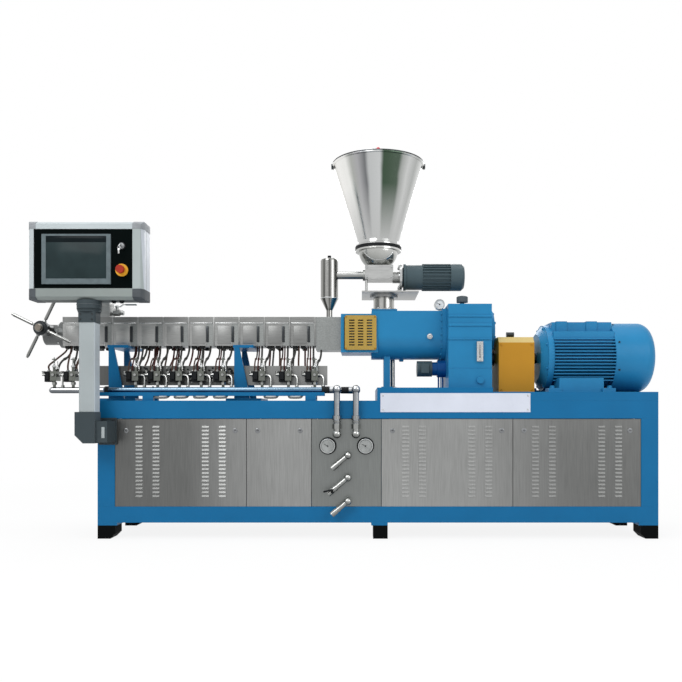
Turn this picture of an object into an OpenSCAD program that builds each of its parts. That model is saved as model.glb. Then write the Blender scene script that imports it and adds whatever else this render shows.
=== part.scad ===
// Twin-screw compounding extruder on a panelled base frame.
// Lengths are in millimetres. X runs along the machine, from the die to the motor, the front faces -Y,
// and the floor is Z = 0.

/* [Base frame] */
// Length of the base frame
base_len = 3000; // [2950:10:3100]
// Width of the base frame, front to back
base_w = 570; // [540:5:620]
// Height of the deck that the barrel supports stand on
deck_h = 739; // [720:1:760]
// Height of the levelling feet
foot_h = 71; // [55:1:90]
// Length of the feet at the ends of the base
foot_len = 94; // [80:1:120]
// Length of the feet under the middle of the base
mid_foot_len = 78; // [65:1:100]
// Depth of the feet, front to back
foot_depth = 110; // [90:1:130]
// How far the plates reach past the feet
foot_plate_over = 10; // [0:1:20]
// Thickness of the plates on the feet
foot_plate_t = 15; // [10:1:20]
// Height of the lower rails
low_rail_h = 86; // [70:1:100]
// Height of the upper rails
up_rail_h = 96; // [85:1:110]
// Thickness of the rails, front to back
rail_t = 60; // [50:1:80]
// Width of the corner posts
post_w = 92; // [85:1:100]
// Thickness of the deck plate
deck_t = 12; // [8:1:16]
// Height of the plinth under the gearboxes
gear_plinth_h = 70; // [55:1:85]
// Height of the plinth under the motor
motor_plinth_h = 47; // [35:1:54]

/* [Panels] */
// Width of a louvred panel
louvre_panel_w = 704; // [680:1:710]
// Width of the plain panel
plain_panel_w = 348; // [320:1:360]
// Width of the water panel
water_panel_w = 374; // [340:1:390]
// Gap round each panel
panel_gap = 3; // [2:0.5:5]
// Thickness of the panel sheet
panel_t = 3; // [2:0.5:4]
// Depth of the folded edge of a panel
panel_lip = 18; // [12:1:24]
// How far the panels sit behind the face of the rails
panel_recess = 2; // [1:0.5:4]
// Length of one pressed louvre
louvre_len = 37; // [25:1:45]
// Height of one pressed louvre
louvre_h = 10; // [7:0.5:14]
// Distance between louvres in a column
louvre_pitch = 20.6; // [17:0.1:22]
// Louvres in each column
louvre_rows = 19; // [10:1:19]
// Length of the white board on the plinth
board_len = 802; // [600:1:900]
// Height of the white board
board_h = 102; // [80:1:105]

/* [Barrel] */
// Height of the screw axis above the deck
screw_rise = 381; // [366:1:401]
// Length of one barrel segment
seg_len = 142.4; // [136:0.1:146]
// Heated barrel segments left of the feed segment
seg_count = 10; // [10:1:10]
// Distance from the middle of the base to the right end of the barrel
barrel_end = 203; // [195:1:215]
// Width of the heater boxes, front to back
heater_w = 170; // [150:1:180]
// Width of the steel core of the barrel
core_w = 104; // [90:1:120]
// Length of one heater box
heater_len = 97; // [85:1:100]
// Length of a segment flange
flange_len = 25; // [18:1:28]
// Depth of the heater boxes below the screw axis
heater_drop = 70; // [62:1:76]
// Height of the heater boxes above the screw axis
heater_rise = 60; // [56:1:68]
// Height of the top covers
cover_h = 33; // [25:1:40]
// Sheet thickness of the top covers
cover_t = 3; // [2:0.5:5]

/* [Die head] */
// Diameter of the die flange
die_flange_d = 150; // [130:1:160]
// Length of the die body left of the flange
die_len = 92; // [88:1:110]
// Diameter of the die body
die_d = 116; // [100:1:130]
// Reach of the star wheel spokes from the hub centre
star_r = 181; // [150:1:190]
// Diameter of the star wheel spokes
spoke_d = 13; // [10:0.5:16]
// Diameter of the star wheel spindle
spindle_d = 20; // [16:1:24]

/* [Cooling] */
// Diameter of the front water manifold
manifold_d = 27; // [24:1:32]
// Diameter of the rear water manifold
return_d = 34; // [30:1:40]
// Height of the valve plate
valve_plate_h = 108; // [90:1:120]
// Thickness of the valve plate
valve_plate_t = 8; // [5:1:12]
// Diameter of the cooling tubes
tube_d = 11; // [8:1:14]
// Diameter of the heater leads
lead_d = 8; // [6:1:10]
// Diameter of the two risers
riser_d = 33; // [27:1:36]
// Diameter of the water gauges
gauge_d = 80; // [65:1:90]

/* [Gearboxes] */
// Length of the lantern between barrel and gearbox
lantern_len = 171; // [160:1:180]
// Width of the lantern, front to back
lantern_w = 250; // [240:1:260]
// Length of the transfer gearbox
transfer_len = 417; // [400:1:430]
// Radius of the round belly of the transfer gearbox
belly_r = 125; // [118:1:130]
// Length of the main gearbox
main_len = 237; // [225:1:250]
// Width of the main gearbox, front to back
main_w = 428; // [400:1:460]
// Height of the main gearbox top above the screw axis
main_rise = 148; // [140:1:165]

/* [Drive] */
// Space between main gearbox and coupling guard
guard_gap = 46; // [44:1:60]
// Length of the coupling guard
guard_len = 196; // [180:1:210]
// Width of the coupling guard, front to back
guard_w = 340; // [310:1:370]
// Height of the coupling guard
guard_h = 308; // [295:1:330]
// Space between coupling guard and motor
motor_gap = 45; // [30:1:55]
// Height of the motor axis above its feet
motor_axis_h = 200; // [200:1:210]
// Radius of the motor over its fins
motor_r = 198; // [190:1:199]
// Length of the motor end shield
shield_len = 64; // [60:1:80]
// Length of the finned stator
stator_len = 334; // [320:1:345]
// Length of the fan cowl
cowl_len = 232; // [220:1:250]

/* [Feeder] */
// Radius of the hopper at its rim
hopper_rim_r = 257; // [230:1:265]
// Radius of the hopper at its neck
hopper_neck_r = 116; // [108:1:120]
// Height of the hopper cone
hopper_h = 443; // [400:1:460]
// Wall of the hopper
hopper_wall = 3; // [2:0.5:4]
// Diameter of the screw tube
screw_tube_d = 45; // [38:1:52]
// Diameter of the drop tube
drop_d = 100; // [85:1:110]
// Diameter of the drop spout
spout_d = 35; // [28:1:40]
// Diameter of the feeder motor
feeder_motor_d = 153; // [140:1:160]
// Length of the feeder motor
feeder_motor_len = 332; // [300:1:350]
// Diameter of the feeder pedestal
pedestal_d = 119; // [105:1:130]

/* [Control arm] */
// Width of the control box
box_w = 594; // [560:1:600]
// Height of the control box
box_h = 401; // [380:1:420]
// Depth of the control box
box_depth = 120; // [110:1:126]
// Width of the column
column_w = 83; // [75:1:90]
// Height of the column above its elbow
column_h = 462; // [450:1:480]
// Diameter of the swivel flange under the box
swivel_d = 125; // [110:1:140]
// Diameter of the swivel spigot
spigot_d = 40; // [34:1:46]

/* [Hidden] */
$fn = 48;

// Running clearance at pins and bearing faces
run_gap = 0.3;
// Overlap given to shapes that are fused
fuse = 1;

// Colours
frame_blue = [0.10, 0.40, 0.65];
drive_blue = [0.17, 0.49, 0.70];
guard_yellow = [0.74, 0.54, 0.18];
steel = [0.62, 0.64, 0.64];
bright_steel = [0.80, 0.81, 0.81];
dark_steel = [0.25, 0.26, 0.27];
black = [0.08, 0.08, 0.09];
arm_dark = [0.23, 0.25, 0.26];
arm_light = [0.65, 0.67, 0.67];
motor_grey = [0.24, 0.30, 0.31];
lead_red = [0.36, 0.10, 0.09];

// Height of the screw axis above the floor
screw_h = deck_h + screw_rise;

// Base levels and edges
base_l = -base_len / 2;
base_r = base_len / 2;
front_y = -base_w / 2;
rail_z = foot_h + foot_plate_t;
panel_z = rail_z + low_rail_h;
up_rail_z = deck_h - up_rail_h;
panel_h = up_rail_z - panel_z - panel_gap;
gear_z = deck_h + gear_plinth_h;
motor_z = deck_h + motor_plinth_h;
mid_x = 13;
post_depth = 90;
chamfer_foot = 26;

// Edges of the panels along the front, from left to right
edge_a = base_l + post_w;
edge_b = edge_a + louvre_panel_w;
edge_c = edge_b + plain_panel_w;
edge_d = edge_c + water_panel_w;
edge_e = edge_d + louvre_panel_w;
edge_f = base_r - post_w;
louvre_cols = [-222.5, -132, 132, 222.5];
louvre_z0 = 51;
louvre_out = 3.5;

// Machine stations along X
barrel_r = -barrel_end;
feed_l = barrel_r - seg_len;
barrel_l = feed_l - seg_count * seg_len;
transfer_l = barrel_r + lantern_len;
main_l = transfer_l + transfer_len;
main_r = main_l + main_len;
guard_l = main_r + guard_gap;
motor_l = guard_l + guard_len + motor_gap;
stator_l = motor_l + shield_len;
cowl_l = stator_l + stator_len;
motor_end = cowl_l + cowl_len;
plinth_l = transfer_l + 28;
plinth_step = main_r - 7;
motor_axis_z = motor_z + motor_axis_h;

// Barrel levels
heater_z0 = screw_h - heater_drop;
heater_z1 = screw_h + heater_rise;
barrel_top = heater_z1 + cover_h;
joint_gap = 0.4;
heater_left = 2;
feed_w = 160;
feed_drop = 92;

// Barrel supports
support_w = 106;
support_xs = [barrel_l + 278, barrel_l + 975];
support_web_y = 125;
support_web_t = 15;
support_plate_t = 15;

// Die head and star wheel
die_flange_t = 33;
star_x = barrel_l - die_flange_t - 57;
star_z = screw_h + 22;
star_y = -150;
star_turn = 64;
hub_d = 46;
hub_disc_d = 80;
housing_d = 64;
housing_y = -105;

// Vent on the second segment
vent_x = barrel_l + 222;
vent_w = 60;
vent_depth = 90;
vent_h = 66;
lever_x = vent_x + 57;
lever_z = barrel_top + 66;
stem_d = 12;

// Cooling water
plate_y = -support_web_y;
plate_z = deck_h + 88;
plate_l = barrel_l + 198;
plate_r = barrel_r - 75;
manifold_y = front_y + rail_t / 2;
manifold_z = deck_h + 59;
return_y = plate_y - 43;
return_z = deck_h + 59;
manifold_l = base_l + 32;
return_l = barrel_l - 22;
stub_xs = [support_xs[0] + support_w + 120, feed_l - 45];
riser_xs = [barrel_r - 16, barrel_r + 85];
riser_y = front_y - 33;
riser_foot_z = up_rail_z - 82;
collar_len = 40;
water_y = front_y + 2 * panel_recess;
gauge_z = panel_z + 325;
valve_w = 34;
valve_depth = 62;
coil_w = 36;
valve_z = return_z + 52;
valve_top = valve_z + 52;
needle_y = plate_y - 46;
coil_y = plate_y - 30;
tube_y = -62;
tube_butt = 0.2;
lead_y = -46;
valve_xs = [
    for (i = [0 : 4]) support_xs[0] + support_w + 55 + i * 120,
    for (i = [0 : 2]) support_xs[1] + support_w + 53 + i * 145
];
end_valve_xs = [return_l + 12, return_l + 116];

// Gearbox levels
lantern_z0 = screw_h - 110;
lantern_z1 = screw_h + 105;
casing_top = screw_h + 122;
belly_z = screw_h - 17;
top_plate_z = casing_top + 13;
leg_x = transfer_l + 70;
guard_t = 14;
cover_z = screw_h + 18;
cover_reach = guard_gap - 4;

// Feeder stations
feeder_x = 8;
stand_x = 40;
bracket_z = top_plate_z + 95;
block_z = bracket_z + 81;
bowl_z = block_z + 79;
band_z = bowl_z + 94;
hopper_z = band_z + 18;
rim_z = hopper_z + 27 + hopper_h;
screw_tube_z = block_z + 31;
feeder_axis_z = block_z + 18;
drop_x = feed_l + seg_len / 2 + 2;
block_l = feeder_x - 76;
block_r = feeder_x + 83;
feeder_flange_x = block_r + 38;
feeder_flange_t = 35;

// Control arm
column_x = base_l - 3;
column_y = front_y - 110;
elbow_z = deck_h - 223;
elbow_h = 162;
elbow_w = 102;
column_z = elbow_z + elbow_h;
coupling_z = column_z + column_h;
coupling_h = 70;
box_z = coupling_z + 115;
box_front_y = column_y - box_depth / 2;
frame_left = 33;
frame_right = 55;
frame_bottom = 56;
frame_top = 41;
front_recess = 4;
front_t = 3;
button_reach = 42;
elbow_r = column_x + 42;
box_l = column_x - box_w / 2;

// The origin is under the middle of the whole machine
reach_l = star_x - star_r * cos(26) - spoke_d / 4;
reach_front = box_front_y + front_recess - button_reach;
origin_x = (reach_l + motor_end) / 2;
origin_y = (reach_front + base_w / 2) / 2;

// Helpers
module at_base()
    translate([-origin_x, -origin_y, 0])
        children();

module block(x, y, z)
    translate([x[0], y[0], z[0]])
        cube([x[1] - x[0], y[1] - y[0], z[1] - z[0]]);

module rod_x(x, y, z, d)
    translate([x[0], y, z])
        rotate([0, 90, 0])
            cylinder(d = d, h = x[1] - x[0]);

module rod_y(x, y, z, d)
    translate([x, y[1], z])
        rotate([90, 0, 0])
            cylinder(d = d, h = y[1] - y[0]);

module rod_z(x, y, z, d)
    translate([x, y, z[0]])
        cylinder(d = d, h = z[1] - z[0]);

// Extrudes an outline drawn in X and Z from y[0] to y[1]
module along_y(y)
    translate([0, y[1], 0])
        rotate([90, 0, 0])
            linear_extrude(y[1] - y[0])
                children();

// Extrudes an outline drawn in Y and Z from x[0] to x[1]
module along_x(x)
    translate([x[0], 0, 0])
        rotate([90, 0, 90])
            linear_extrude(x[1] - x[0])
                children();

module both_sides() {
    children();
    mirror([0, 1, 0])
        children();
}

module rounded(w, h, r) {
    translate([r, 0])
        square([w - 2 * r, h]);
    translate([0, r])
        square([w, h - 2 * r]);
    for (x = [r, w - r])
        for (y = [r, h - r])
            translate([x, y])
                circle(r);
}

// Base frame
module base_rails()
    color(frame_blue)
        at_base()
            both_sides()
                for (z = [[rail_z, panel_z], [up_rail_z, deck_h]])
                    block([base_l, base_r], [front_y, front_y + rail_t], z);

module base_cross_rails() {
    inner = base_w / 2 - rail_t;
    color(frame_blue)
        at_base()
            for (x = [base_l, mid_x - post_w / 2, base_r - post_w])
                for (z = [[rail_z, panel_z], [up_rail_z, deck_h - deck_t]])
                    block([x, x + post_w], [-inner, inner], z);
}

module base_posts() {
    mid_post_y = front_y + panel_recess + panel_lip + 8;
    color(frame_blue)
        at_base()
            both_sides() {
                for (x = [[base_l, base_l + post_w], [base_r - post_w, base_r]])
                    block(x, [front_y, front_y + post_depth], [panel_z, up_rail_z]);
                block(
                    [mid_x - post_w / 2, mid_x + post_w / 2],
                    [mid_post_y, front_y + rail_t],
                    [panel_z, up_rail_z]
                );
                foot_plate(base_l, foot_len + foot_plate_over);
                foot_plate(mid_x - mid_foot_len / 2 - foot_plate_over, mid_foot_len + foot_plate_over);
                foot_plate(base_r - foot_len - foot_plate_over, foot_len + foot_plate_over);
            }
}

module foot_plate(x, len)
    block([x, x + len], [front_y, front_y + foot_depth], [foot_h, rail_z]);

module deck_plate() {
    inner = base_w / 2 - rail_t;
    color(frame_blue)
        at_base()
            block([base_l, base_r], [-inner, inner], [deck_h - deck_t, deck_h]);
}

// Stepped plinth, high under the gearboxes and lower under the motor
module drive_plinth()
    color(frame_blue)
        at_base()
            along_y([front_y, -front_y])
                polygon([
                    [plinth_l, deck_h],
                    [base_r, deck_h],
                    [base_r, motor_z],
                    [plinth_step, motor_z],
                    [plinth_step, gear_z],
                    [plinth_l, gear_z]
                ]);

module levelling_feet()
    color(black)
        at_base()
            both_sides() {
                translate([base_l, 0, 0])
                    end_foot();
                translate([base_r, 0, 0])
                    mirror([1, 0, 0])
                        end_foot();
                block(
                    [mid_x - mid_foot_len / 2, mid_x + mid_foot_len / 2],
                    [front_y, front_y + foot_depth],
                    [0, foot_h]
                );
            }

// End foot with its inner lower corner cut away
module end_foot()
    along_y([front_y, front_y + foot_depth])
        polygon([
            [0, 0],
            [foot_len - chamfer_foot, 0],
            [foot_len, chamfer_foot],
            [foot_len, foot_h],
            [0, foot_h]
        ]);

// Lift-off panel: a sheet with folded edges, standing on the lower rail
module tray(x0, x1) {
    w = x1 - x0 - panel_gap;
    translate([x0 + panel_gap / 2, 0, panel_z])
        difference() {
            cube([w, panel_lip, panel_h]);
            translate([panel_t, panel_t, panel_t])
                cube([w - 2 * panel_t, panel_lip, panel_h - 2 * panel_t]);
        }
}

// Centres of the pressed louvres on a panel between two edges
function louvre_spots(x0, x1) = [
    for (col = louvre_cols)
        for (row = [0 : louvre_rows - 1])
            [(x0 + x1) / 2 + col, panel_z + louvre_z0 + row * louvre_pitch]
];

module louvre_hood(spot)
    translate([spot[0] - louvre_len / 2, 0, spot[1]])
        along_x([0, louvre_len])
            polygon([[0, louvre_h], [-louvre_out, 0], [fuse, 0], [fuse, louvre_h]]);

module louvre_slot(spot)
    translate([spot[0] - louvre_len / 2 + panel_t / 2, 0, spot[1]])
        along_x([0, louvre_len - panel_t])
            polygon([
                [panel_t + fuse, louvre_h * 0.7],
                [0, louvre_h * 0.7],
                [-louvre_out + 1.2, -fuse / 4],
                [panel_t + fuse, -fuse / 4]
            ]);

module louvre_tray(x0, x1)
    difference() {
        union() {
            tray(x0, x1);
            for (spot = louvre_spots(x0, x1))
                louvre_hood(spot);
        }
        for (spot = louvre_spots(x0, x1))
            louvre_slot(spot);
    }

module front_panels()
    color(steel)
        at_base()
            translate([0, front_y + panel_recess, 0]) {
                louvre_tray(edge_a, edge_b);
                tray(edge_b, edge_c);
                louvre_tray(edge_d, edge_e);
                louvre_tray(edge_e, edge_f);
            }

module water_panel()
    color(steel)
        at_base()
            translate([0, front_y + 2 * panel_recess, 0])
                tray(edge_c, edge_d);

module rear_and_end_panels() {
    end_half = base_w / 2 - post_depth;
    color(steel)
        at_base() {
            mirror([0, 1, 0])
                translate([0, front_y + panel_recess, 0]) {
                    tray(edge_a, edge_b);
                    tray(edge_b, edge_c);
                    tray(edge_c, edge_d);
                    tray(edge_d, edge_e);
                    tray(edge_e, edge_f);
                }
            for (side = [-1, 1])
                translate([side * (base_r - panel_recess), 0, 0])
                    rotate([0, 0, side * 90])
                        tray(-end_half, end_half);
        }
}

// Blank white board across the rail and the plinth
module name_board()
    color("white")
        at_base()
            block(
                [plinth_l + 17, plinth_l + 17 + board_len],
                [front_y - panel_t, front_y],
                [motor_z - 7 - board_h, motor_z - 7]
            );

// Barrel
function seg_x(i) = barrel_l + i * seg_len;

// Steel core of each segment with its bolting flange, and the plain feed segment
module barrel_segments() {
    half = heater_w / 2 - 3;
    flange_gap = 8;
    lip_h = 20;
    color(steel)
        at_base() {
            for (i = [0 : seg_count - 1]) {
                right = seg_x(i) + seg_len - flange_gap;
                block(
                    [seg_x(i) + joint_gap / 2, seg_x(i) + seg_len - joint_gap / 2],
                    [-core_w / 2, core_w / 2],
                    [screw_h - core_w / 2, screw_h + core_w / 2]
                );
                block([right - flange_len, right], [-half, half], [heater_z0, heater_z1]);
                for (z = [[heater_z0, heater_z0 + lip_h], [heater_z1 - lip_h, heater_z1]])
                    block([seg_x(i) + heater_left + heater_len, right - fuse], [-half, half], z);
            }
            block(
                [feed_l + joint_gap / 2, barrel_r],
                [-feed_w / 2, feed_w / 2],
                [screw_h - feed_drop, barrel_top]
            );
        }
}

// Heater boxes clamped round the cores
module barrel_heaters() {
    half = heater_w / 2;
    color(steel)
        at_base()
            for (i = [0 : seg_count - 1]) {
                left = seg_x(i) + heater_left;
                difference() {
                    block([left, left + heater_len], [-half, half], [heater_z0, heater_z1]);
                    block(
                        [left - fuse, left + heater_len + fuse],
                        [-core_w / 2, core_w / 2],
                        [screw_h - core_w / 2, screw_h + core_w / 2]
                    );
                }
            }
}

// Folded covers over the tops of the heaters
module barrel_top_covers() {
    half = heater_w / 2;
    color(steel)
        at_base()
            for (i = [0 : seg_count - 1])
                difference() {
                    block(
                        [seg_x(i) + 1, seg_x(i) + seg_len - 7],
                        [-half, half],
                        [heater_z1, barrel_top]
                    );
                    block(
                        [seg_x(i) + 1 + cover_t, seg_x(i) + seg_len - 7 - cover_t],
                        [-half + cover_t, half - cover_t],
                        [heater_z1 - fuse, barrel_top - cover_t]
                    );
                }
}

// Welded supports: foot plate, two tapered webs and a top plate under the heaters
module barrel_supports()
    color(frame_blue)
        at_base()
            for (x = support_xs)
                translate([x, 0, 0])
                    barrel_support();

module barrel_support() {
    web = [support_web_y, support_web_y + support_web_t];
    top = heater_z0 - support_plate_t;
    foot = deck_h + support_plate_t;
    block([-45, support_w + 45], [-web[1] - 10, web[1] + 10], [deck_h, foot]);
    block([-6, support_w], [-web[1], web[1]], [top, heater_z0]);
    both_sides()
        along_y([-web[1], -web[0]])
            polygon([
                [0, foot - fuse],
                [86, foot - fuse],
                [80, foot + 40],
                [28, top + fuse],
                [0, top + fuse]
            ]);
}

// Die head: flange, round body, and the cross housing that carries the star wheel spindle
module die_head() {
    body_r = barrel_l - die_flange_t;
    body_l = body_r - die_len;
    color(dark_steel)
        at_base()
            difference() {
                union() {
                    rod_x([body_r, barrel_l], 0, screw_h, die_flange_d);
                    rod_x([body_l, body_r + fuse], 0, screw_h, die_d);
                    rod_y(star_x, [housing_y, -housing_y - 25], star_z, housing_d);
                    rod_y(star_x, [star_y - 42, housing_y + fuse], star_z, spindle_d);
                }
                rod_x([body_l - fuse, body_r - 40], 0, screw_h, 34);
            }
}

// Star wheel: a stepped hub with four spokes, turning on the spindle
module star_wheel()
    color(bright_steel)
        at_base()
            translate([star_x, star_y, star_z])
                difference() {
                    union() {
                        rod_y(0, [-36, 44], 0, hub_d);
                        rod_y(0, [-14, 16], 0, hub_disc_d);
                        for (i = [0 : 3])
                            rotate([0, -star_turn - i * 90, 0])
                                star_spoke();
                    }
                    rod_y(0, [-45, 46], 0, spindle_d + 2 * run_gap);
                }

module star_spoke() {
    rod_x([hub_d / 2 - 2, star_r], 0, 0, spoke_d - 2);
    rod_x([star_r - 26, star_r], 0, 0, spoke_d);
}

// Vent block on the barrel with a small ball valve at its right
module vent_port() {
    valve_d = 34;
    color(bright_steel)
        at_base() {
            block(
                [vent_x - vent_w / 2, vent_x + vent_w / 2],
                [-vent_depth / 2, vent_depth / 2],
                [barrel_top, barrel_top + vent_h]
            );
            rod_x([vent_x + vent_w / 2 - fuse, lever_x + 34], 0, barrel_top + 34, valve_d - 8);
            translate([lever_x - 18, 0, barrel_top + 34])
                rotate([0, 90, 0])
                    cylinder(d = valve_d + 4, h = 36, $fn = 6);
            rod_z(lever_x, 0, [barrel_top + 34, lever_z], stem_d + 6);
            rod_z(lever_x, 0, [lever_z - fuse, lever_z + 9], stem_d);
        }
}

// Quarter-turn lever on the vent valve
module vent_lever() {
    len = 112;
    t = 4;
    w = 15;
    z = lever_z + run_gap;
    color(bright_steel)
        at_base()
            translate([lever_x, 0, z])
                difference() {
                    union() {
                        cylinder(d = stem_d + 14, h = t);
                        along_y([-w / 2, w / 2])
                            polygon([
                                [8, 0],
                                [20, 0],
                                [36, 12],
                                [len, 12],
                                [len, 12 + t],
                                [34, 12 + t],
                                [18, t],
                                [8, t]
                            ]);
                    }
                    translate([0, 0, -fuse])
                        cylinder(d = stem_d + 2 * run_gap, h = t + 2 * fuse);
                }
}

// Cooling water
module valve_plate()
    color(steel)
        at_base()
            block(
                [plate_l, plate_r],
                [plate_y, plate_y + valve_plate_t],
                [plate_z, plate_z + valve_plate_h]
            );

// Brass needle valves, each on a nipple from the return pipe
module valve_bodies()
    color([0.55, 0.50, 0.36])
        at_base()
            for (x = concat(valve_xs, end_valve_xs))
                translate([x, 0, 0])
                    valve_body();

module valve_body() {
    block([-valve_w / 2, valve_w / 2], [plate_y - valve_depth, plate_y], [valve_z, valve_top]);
    rod_z(0, return_y, [return_z + return_d / 2, valve_z + fuse], 16);
    rod_z(0, needle_y, [valve_top - fuse, valve_top + 72], 7);
    rod_z(0, needle_y, [valve_top - fuse, valve_top + 22], 15);
    rod_x([-12, 12], needle_y, valve_top + 66, 6);
}

// Solenoid coils at the left of the valves
module valve_coils() {
    y = [coil_y - coil_w / 2, coil_y + coil_w / 2];
    color(black)
        at_base()
            for (x = concat(valve_xs, end_valve_xs))
                translate([x - valve_w / 2, 0, 0]) {
                    block([-coil_w, 0], y, [valve_z - 6, valve_top]);
                    block([-coil_w + 8, -8], [y[0] - 12, coil_y], [valve_z + 8, valve_top - 10]);
                }
}

// Two long pipes with round ends
module cooling_manifolds()
    color(bright_steel)
        at_base() {
            rod_x([manifold_l, riser_xs[0] - collar_len], manifold_y, manifold_z, manifold_d);
            translate([manifold_l, manifold_y, manifold_z])
                sphere(d = manifold_d);
            rod_x([return_l, riser_xs[1] - collar_len], return_y, return_z, return_d);
            translate([return_l, return_y, return_z])
                sphere(d = return_d);
        }

// Saddle brackets that carry the rear pipe, and the long bar that carries the front one
module pipe_brackets() {
    len = 58;
    half = 13;
    bar_h = 20;
    bar_top = manifold_z - manifold_d / 2;
    bar_l = support_xs[0] - 20;
    bar_r = feed_l + 60;
    color(frame_blue)
        at_base() {
            block([bar_l, bar_r], [manifold_y - half, manifold_y + half], [bar_top - bar_h, bar_top]);
            for (x = stub_xs) {
                block([x, x + len], [manifold_y - half, manifold_y + half], [deck_h, bar_top - bar_h + fuse]);
                difference() {
                    block([x, x + len], [return_y - half, return_y + half], [deck_h, return_z - 4]);
                    rod_x([x - fuse, x + len + fuse], return_y, return_z, return_d);
                }
            }
        }
}

// Risers that bring the manifolds down over the rail and into the water panel
module riser_pipes()
    color(bright_steel)
        at_base() {
            riser(riser_xs[0], manifold_y, manifold_z, manifold_d);
            riser(riser_xs[1], return_y, return_z, return_d);
        }

module riser(x, y, z, d) {
    ball_d = riser_d + 13;
    rod_x([x - collar_len, x], y, z, d + 4);
    rod_y(x, [riser_y, y], z, riser_d);
    rod_z(x, riser_y, [riser_foot_z, z], riser_d);
    rod_y(x, [riser_y, water_y], riser_foot_z, riser_d);
    for (p = [[y, z], [riser_y, z], [riser_y, riser_foot_z]])
        translate([x, p[0], p[1]])
            sphere(d = ball_d);
    for (zu = [up_rail_z - 8, riser_foot_z + 28])
        translate([x, riser_y, zu])
            cylinder(d = ball_d + 2, h = 24, $fn = 6);
}

// Two pressure gauges and three hose connections on the water panel
module water_fittings()
    color(bright_steel)
        at_base() {
            for (x = [edge_c + 88, edge_d - 85]) {
                rod_y(x, [water_y - 34, water_y], gauge_z, gauge_d);
                rod_y(x, [water_y - 10, water_y], gauge_z, gauge_d + 12);
            }
            for (i = [0 : 2])
                translate([edge_c + 195, water_y, panel_z + [276, 158, 33][i]])
                    hose_stub([109, 135, 110][i]);
        }

module hose_stub(len) {
    reach = 45;
    rod_y(0, [-reach, 0], 0, 30);
    translate([0, -reach, 0]) {
        sphere(d = 40);
        rotate([0, -40, 0]) {
            rod_x([-len, 0], 0, 0, 26);
            rod_x([-len, -len + 34], 0, 0, 31);
            rod_x([-len + 42, -len + 52], 0, 0, 31);
        }
    }
}

// Tube that leaves straight down, sways over and arrives straight down, with a ferrule halfway
module sway_tube(top, bottom, d) {
    run = bottom - top;
    across = norm([run[0], run[1]]);
    height = top[2] - bottom[2];
    turn = 2 * atan(across / height);
    r = height / (2 * sin(turn));
    translate([top[0], top[1], bottom[2]])
        rotate([90, 0, atan2(run[1], run[0])]) {
            translate([r, height])
                rotate([0, 0, 180])
                    tube_bend(r, turn - tube_butt, d);
            translate([across - r, 0])
                tube_bend(r, turn - tube_butt, d);
            translate([across / 2, height / 2])
                rotate([0, 0, turn - 90])
                    rotate([0, 90, 0])
                        cylinder(d = d + 4, h = 18, center = true);
        }
}

module tube_bend(r, turn, d)
    rotate_extrude(angle = turn)
        translate([r, 0])
            circle(d = d);

// Underside of the barrel at a place along it
function segment_bottom(x) = x + tube_d > feed_l ? screw_h - feed_drop : heater_z0;

// Water tubes from the heaters and the feed segment down to the valves
module cooling_tubes()
    color(dark_steel)
        at_base() {
            for (x = valve_xs) {
                sway_tube([x - 14, tube_y, heater_z0], [x - 9, plate_y - 15, valve_top], tube_d);
                sway_tube(
                    [x + 30, tube_y, segment_bottom(x + 30)],
                    [x + 9, plate_y - 22, valve_top],
                    tube_d
                );
            }
            for (i = [0, 1])
                sway_tube(
                    [barrel_l + 46 + 30 * i, tube_y, heater_z0],
                    [end_valve_xs[i] + 9 - 18 * i, plate_y - 15, valve_top],
                    tube_d
                );
        }

// Heater leads from the heaters down to the coils
module heater_leads()
    color(lead_red)
        at_base()
            for (x = valve_xs) {
                coil_x = x - valve_w / 2 - coil_w / 2;
                sway_tube([x - 32, lead_y, heater_z0], [coil_x + 9, coil_y + 6, valve_top], lead_d);
                sway_tube([x - 46, lead_y + 22, heater_z0], [coil_x - 8, coil_y - 6, valve_top], lead_d);
            }

// Lantern with a deep pocket behind each cover
module lantern() {
    half = lantern_w / 2;
    wall = 18;
    pocket = 85;
    color(drive_blue)
        at_base()
            difference() {
                block([barrel_r, transfer_l], [-half, half], [lantern_z0, lantern_z1]);
                both_sides()
                    block(
                        [barrel_r + wall, transfer_l - wall],
                        [-half - fuse, -half + pocket],
                        [lantern_z0 + wall, lantern_z1 - wall]
                    );
            }
}

// Slotted covers over the front and rear windows of the lantern
module lantern_guard() {
    len = 176;
    height = 192;
    slot_len = 30;
    slot_h = 7;
    color(guard_yellow)
        at_base()
            both_sides()
                translate([barrel_r + 22, -lantern_w / 2, lantern_z0 + 13])
                    along_y([-guard_t, 0])
                        difference() {
                            rounded(len, height, 10);
                            for (col = [0 : 2])
                                for (row = [0 : 9])
                                    translate([24 + col * 49, 24 + row * 15.2])
                                        square([slot_len, slot_h]);
                        }
}

// Outline of the transfer gearbox casing: flat top, round belly
module casing_outline(grow = 0) {
    r = belly_r + grow;
    translate([0, belly_z])
        circle(r);
    translate([-r, belly_z])
        square([2 * r, casing_top - belly_z + grow]);
}

module transfer_gearbox() {
    flange_t = 24;
    color(drive_blue)
        at_base() {
            along_x([transfer_l, main_l])
                casing_outline();
            block([transfer_l, transfer_l + 36], [-lantern_w / 2, lantern_w / 2], [lantern_z0, casing_top]);
            along_x([main_l - flange_t, main_l])
                casing_outline(10);
            block([transfer_l + 2, transfer_l + 144], [-100, 100], [casing_top - fuse, top_plate_z]);
        }
}

// Leg from the plinth to the belly of the transfer gearbox
module gearbox_leg()
    color(drive_blue)
        at_base()
            difference() {
                union() {
                    block([leg_x, leg_x + 36], [-60, 60], [gear_z, belly_z - belly_r / 2]);
                    block([leg_x - 14, leg_x + 50], [-80, 80], [gear_z, gear_z + 12]);
                }
                along_x([leg_x - fuse, leg_x + 36 + fuse])
                    casing_outline(run_gap);
            }

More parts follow.
